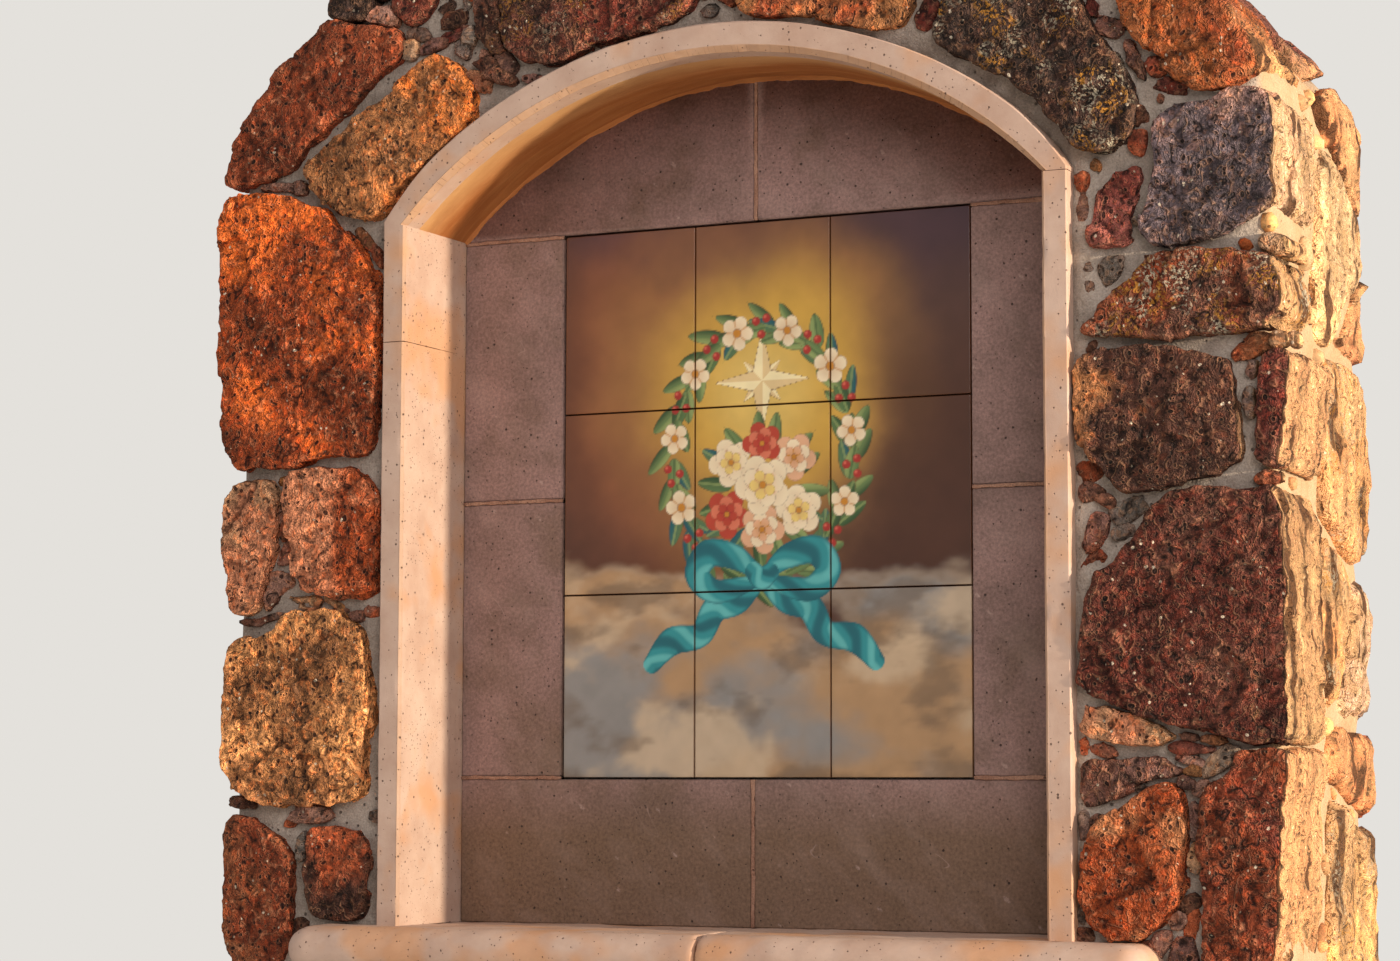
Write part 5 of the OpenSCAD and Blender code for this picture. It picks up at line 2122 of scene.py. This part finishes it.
def makeTiles():
    s = panelSet
    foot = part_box("tile_bed")[0][2]
    for name in [n for n in nodes if n.startswith("tile_row")]:
        low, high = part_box(name)
        # the rows and columns of the glazed face, with two narrow ones for the rounded edge
        xs = tileRows(low[0], high[0], s["fineX"])
        zs = tileRows(low[2], high[2], [foot + v for v in s["fineV"]])
        gridX, gridZ = np.meshgrid(xs, zs)
        inX = np.minimum(gridX - low[0], high[0] - gridX)
        inZ = np.minimum(gridZ - low[2], high[2] - gridZ)
        inside = np.minimum(np.minimum(inX, inZ), s["edge"]) / s["edge"]
        gridY = low[1] + s["edge"] * (1 - np.sqrt(np.clip(1 - (1 - inside) ** 2, 0, 1)))
        points = np.stack([gridX, gridY, gridZ], axis=-1).reshape(-1, 3)
        wide, tall = len(xs), len(zs)
        at = np.arange(wide * tall).reshape(tall, wide)
        faces = np.stack([at[:-1, :-1], at[:-1, 1:], at[1:, 1:], at[1:, :-1]], axis=-1)
        faces = faces.reshape(-1, 4).tolist()
        rim = list(at[0, :]) + list(at[1:, -1]) + list(at[-1, -2::-1]) + list(at[-2:0:-1, 0])
        behind = points[rim].copy()
        behind[:, 1] = high[1]
        start = len(points)
        hub = start + len(rim)
        points = np.concatenate([points, behind, [[(low[0] + high[0]) / 2, high[1],
                                                   (low[2] + high[2]) / 2]]])
        for i in range(len(rim)):
            j = (i + 1) % len(rim)
            faces.append((int(rim[j]), int(rim[i]), start + i, start + j))
            faces.append((start + j, start + i, hub, -1))
        colours = paintPanel(points[:, 0], points[:, 2] - foot)
        rimDark = np.concatenate([(1 - inside).reshape(-1), np.ones(len(rim) + 1)])
        colours = over(colours, paint["outline"], rimDark * 0.55)
        mesh = meshFromFaces(name, points, faces)
        giveColour(mesh, "painting", np.concatenate([colours, np.ones((len(colours), 1))], axis=1))
        tile = newObject(name + "_glazed", mesh)
        finishPiece(tile, glazedTile, (name,), sharpAngle=50)


makeTiles()
print("tile panel painted")


# pebbles scattered in the joints that the photograph doesn't show

pebbleSet = {"density": 380.0, "gap": 0.009, "seed": 9, "nicheMargin": 0.03}


def makePebbleTree():
    tree, ends, out = newGroup("scatterPebbles", [
        ("Geometry", "NodeSocketGeometry", None), ("Stones", "NodeSocketCollection", None),
        ("Pebble", "NodeSocketObject", None), ("Density", "NodeSocketFloat", 900.0),
        ("Gap", "NodeSocketFloat", 0.008), ("Seed", "NodeSocketInt", 0),
        ("Niche Half", "NodeSocketFloat", 0.5), ("Niche Foot", "NodeSocketFloat", 1.0),
        ("Niche Head", "NodeSocketFloat", 2.4), ("Niche Back", "NodeSocketFloat", 0.0),
        ("Material", "NodeSocketMaterial", None),
    ], [("Geometry", "NodeSocketGeometry")], "GeometryNodeTree")
    place = put(tree, "ShaderNodeSeparateXYZ", {
        0: put(tree, "GeometryNodeInputPosition").outputs[0]}).outputs
    beside = calc(tree, calc(tree, place[0], 0.0, "ABSOLUTE"), ends["Niche Half"],
                  "GREATER_THAN")
    under = calc(tree, place[2], ends["Niche Foot"], "LESS_THAN")
    above = calc(tree, place[2], ends["Niche Head"], "GREATER_THAN")
    behind = calc(tree, place[1], ends["Niche Back"], "GREATER_THAN")
    clear = larger(tree, larger(tree, beside, under), larger(tree, above, behind))
    clear = times(tree, clear, calc(tree, place[2], 0.02, "GREATER_THAN"))
    spread = put(tree, "GeometryNodeDistributePointsOnFaces", {
        "Mesh": ends["Geometry"], "Density": times(tree, clear, ends["Density"]),
        "Seed": ends["Seed"],
    }, distribute_method="RANDOM")
    stones = put(tree, "GeometryNodeCollectionInfo", {"Collection": ends["Stones"]})
    solid = put(tree, "GeometryNodeRealizeInstances", {"Geometry": stones.outputs[0]})
    near = put(tree, "GeometryNodeProximity", {0: solid.outputs[0]}, target_element="FACES")
    tooNear = put(tree, "FunctionNodeCompare", {0: near.outputs["Distance"],
                                                1: ends["Gap"]},
                  data_type="FLOAT", operation="LESS_THAN")
    kept = put(tree, "GeometryNodeDeleteGeometry", {
        "Geometry": spread.outputs["Points"], "Selection": tooNear.outputs[0],
    }, domain="POINT")
    size = calc(tree, near.outputs["Distance"], 0.022, "MINIMUM")
    turn = put(tree, "FunctionNodeRandomValue", {
        0: (0.0, 0.0, 0.0), 1: (6.28, 6.28, 6.28), "Seed": 3}, data_type="FLOAT_VECTOR")
    squash = put(tree, "FunctionNodeRandomValue", {
        0: (0.6, 0.5, 0.5), 1: (1.25, 1.0, 0.9), "Seed": 4}, data_type="FLOAT_VECTOR")
    scale = vectorScale(tree, squash.outputs[0], size)
    pebble = put(tree, "GeometryNodeObjectInfo", {"Object": ends["Pebble"]})
    copies = put(tree, "GeometryNodeInstanceOnPoints", {
        "Points": kept.outputs[0], "Instance": pebble.outputs["Geometry"],
        "Rotation": turn.outputs[0], "Scale": scale,
    })
    number = put(tree, "GeometryNodeInputIndex").outputs[0]
    marked = put(tree, "GeometryNodeStoreNamedAttribute", {
        "Geometry": copies.outputs[0], "Name": "stoneSeed", "Value": number,
    }, data_type="FLOAT", domain="INSTANCE")
    real = put(tree, "GeometryNodeRealizeInstances", {"Geometry": marked.outputs[0]})
    dressed = put(tree, "GeometryNodeSetMaterial", {
        "Geometry": real.outputs[0], "Material": ends["Material"],
    })
    tree.links.new(dressed.outputs[0], out["Geometry"])
    return tree


def scatterPebbles():
    rng = random.Random(pebbleSet["seed"])
    bm = bmesh.new()
    bmesh.ops.create_cube(bm, size=2.0)
    bmesh.ops.subdivide_edges(bm, edges=bm.edges[:], cuts=1, use_grid_fill=True)
    for v in bm.verts:
        v.co = v.co.normalized() * rng.uniform(0.85, 1.12)
    pebble = bpy.data.objects.new("pebble", meshFromBm(bm, "pebble"))
    stones = bpy.data.collections.new("stones")
    for thing in bpy.context.scene.objects:
        if thing.name.endswith(("_rubble", "_stones")):
            stones.objects.link(thing)
    piece = newObject("joint_pebbles", mortarMesh.copy())
    runTree(piece, makePebbleTree(), {
        "Stones": stones, "Pebble": pebble, "Density": pebbleSet["density"],
        "Gap": pebbleSet["gap"], "Seed": pebbleSet["seed"],
        "Niche Half": outerX + pebbleSet["nicheMargin"], "Niche Foot": sillBottom - 0.06,
        "Niche Head": archHigh[2] + pebbleSet["nicheMargin"], "Niche Back": slabBackY + 0.05,
        "Material": rubbleStone,
    })
    mesh = piece.data
    seeds = np.empty(len(mesh.vertices), dtype=np.float32)
    mesh.attributes["stoneSeed"].data.foreach_get("value", seeds)
    names = list(stoneTones)
    numbers = seeds.astype(int)
    picks = np.random.default_rng(pebbleSet["seed"]).integers(0, len(names), (numbers.max() + 1, 2))
    tones = np.array([stoneTones[n] for n in names])
    giveColour(mesh, "toneMain", tones[picks[numbers, 0]])
    giveColour(mesh, "tonePatch", tones[picks[numbers, 1]])
    finishPiece(piece, rubbleStone)
    bpy.data.collections.remove(stones)
    bpy.data.objects.remove(pebble)
    print("pebbles", numbers.max() + 1, "and", len(mesh.polygons), "faces")


scatterPebbles()


# floor, backdrop and light

studioSet = {
    "floor": tone("d9d5cf"), "back": tone("e4e1dc"), "ambient": (1.0, 0.95, 0.9, 1.0),
    "ambientStrength": 0.50, "floorSize": 30.0, "fadeFrom": 2.2, "fadeTo": 6.5,
}
studioLamps = {
    "rightKey": {"place": (6.2, -0.98, 2.25), "aim": (0.3, -0.2, 1.7), "size": 0.16,
                 "energy": 600, "colour": (1.0, 0.84, 0.62)},
    "frontFill": {"place": (3.2, -4.6, 3.6), "aim": (0.0, 0.0, 1.6), "size": 2.8,
                  "energy": 112, "colour": (1.0, 0.93, 0.88)},
    "backRim": {"place": (-1.8, 4.0, 3.8), "aim": (0.0, 0.0, 1.3), "size": 2.4,
                "energy": 130, "colour": (1.0, 0.95, 0.9)},
}


def makeStudio():
    half = studioSet["floorSize"]
    mesh = bpy.data.meshes.new("floor")
    mesh.from_pydata([(-half, -half, 0), (half, -half, 0), (half, half, 0), (-half, half, 0)],
                     [], [(0, 1, 2, 3)])
    floor = newObject("floor", mesh)
    material, tree, shader = newMaterial("paleFloor", 0.9, 0.1)
    shader.inputs["Base Color"].default_value = studioSet["floor"]
    far = put(tree, "ShaderNodeVectorMath", {0: objectVector(tree)}, operation="LENGTH")
    far = remap(tree, far.outputs["Value"], studioSet["fadeFrom"], studioSet["fadeTo"])
    eye = put(tree, "ShaderNodeLightPath").outputs["Is Camera Ray"]
    sky = put(tree, "ShaderNodeEmission", {0: studioSet["back"], 1: 1.0})
    faded = put(tree, "ShaderNodeMixShader", {
        0: times(tree, far, eye), 1: shader.outputs[0], 2: sky.outputs[0],
    })
    tree.links.new(faded.outputs[0], tree.nodes["Material Output"].inputs[0])
    mesh.materials.append(material)
    world = bpy.data.worlds.new("studio")
    bpy.context.scene.world = world
    world.use_nodes = True
    tree = world.node_tree
    tree.nodes.clear()
    soft = put(tree, "ShaderNodeBackground", {
        0: studioSet["ambient"], 1: studioSet["ambientStrength"]})
    seen = put(tree, "ShaderNodeBackground", {0: studioSet["back"], 1: 1.0})
    rays = put(tree, "ShaderNodeLightPath").outputs
    straight = larger(tree, rays["Is Camera Ray"], rays["Is Transmission Ray"])
    mix = put(tree, "ShaderNodeMixShader", {0: straight, 1: soft.outputs[0], 2: seen.outputs[0]})
    put(tree, "ShaderNodeOutputWorld", {0: mix.outputs[0]})
    for name, lamp in studioLamps.items():
        data = bpy.data.lights.new(name, "AREA")
        data.shape = "DISK"
        data.size = lamp["size"]
        data.energy = lamp["energy"]
        data.color = lamp["colour"]
        light = bpy.data.objects.new(name, data)
        aim = Vector(lamp["place"]) - Vector(lamp["aim"])
        turn = aim.to_track_quat("Z", "Y").to_matrix().to_4x4()
        light.matrix_world = Matrix.Translation(lamp["place"]) @ turn
        bpy.context.scene.collection.objects.link(light)


makeStudio()
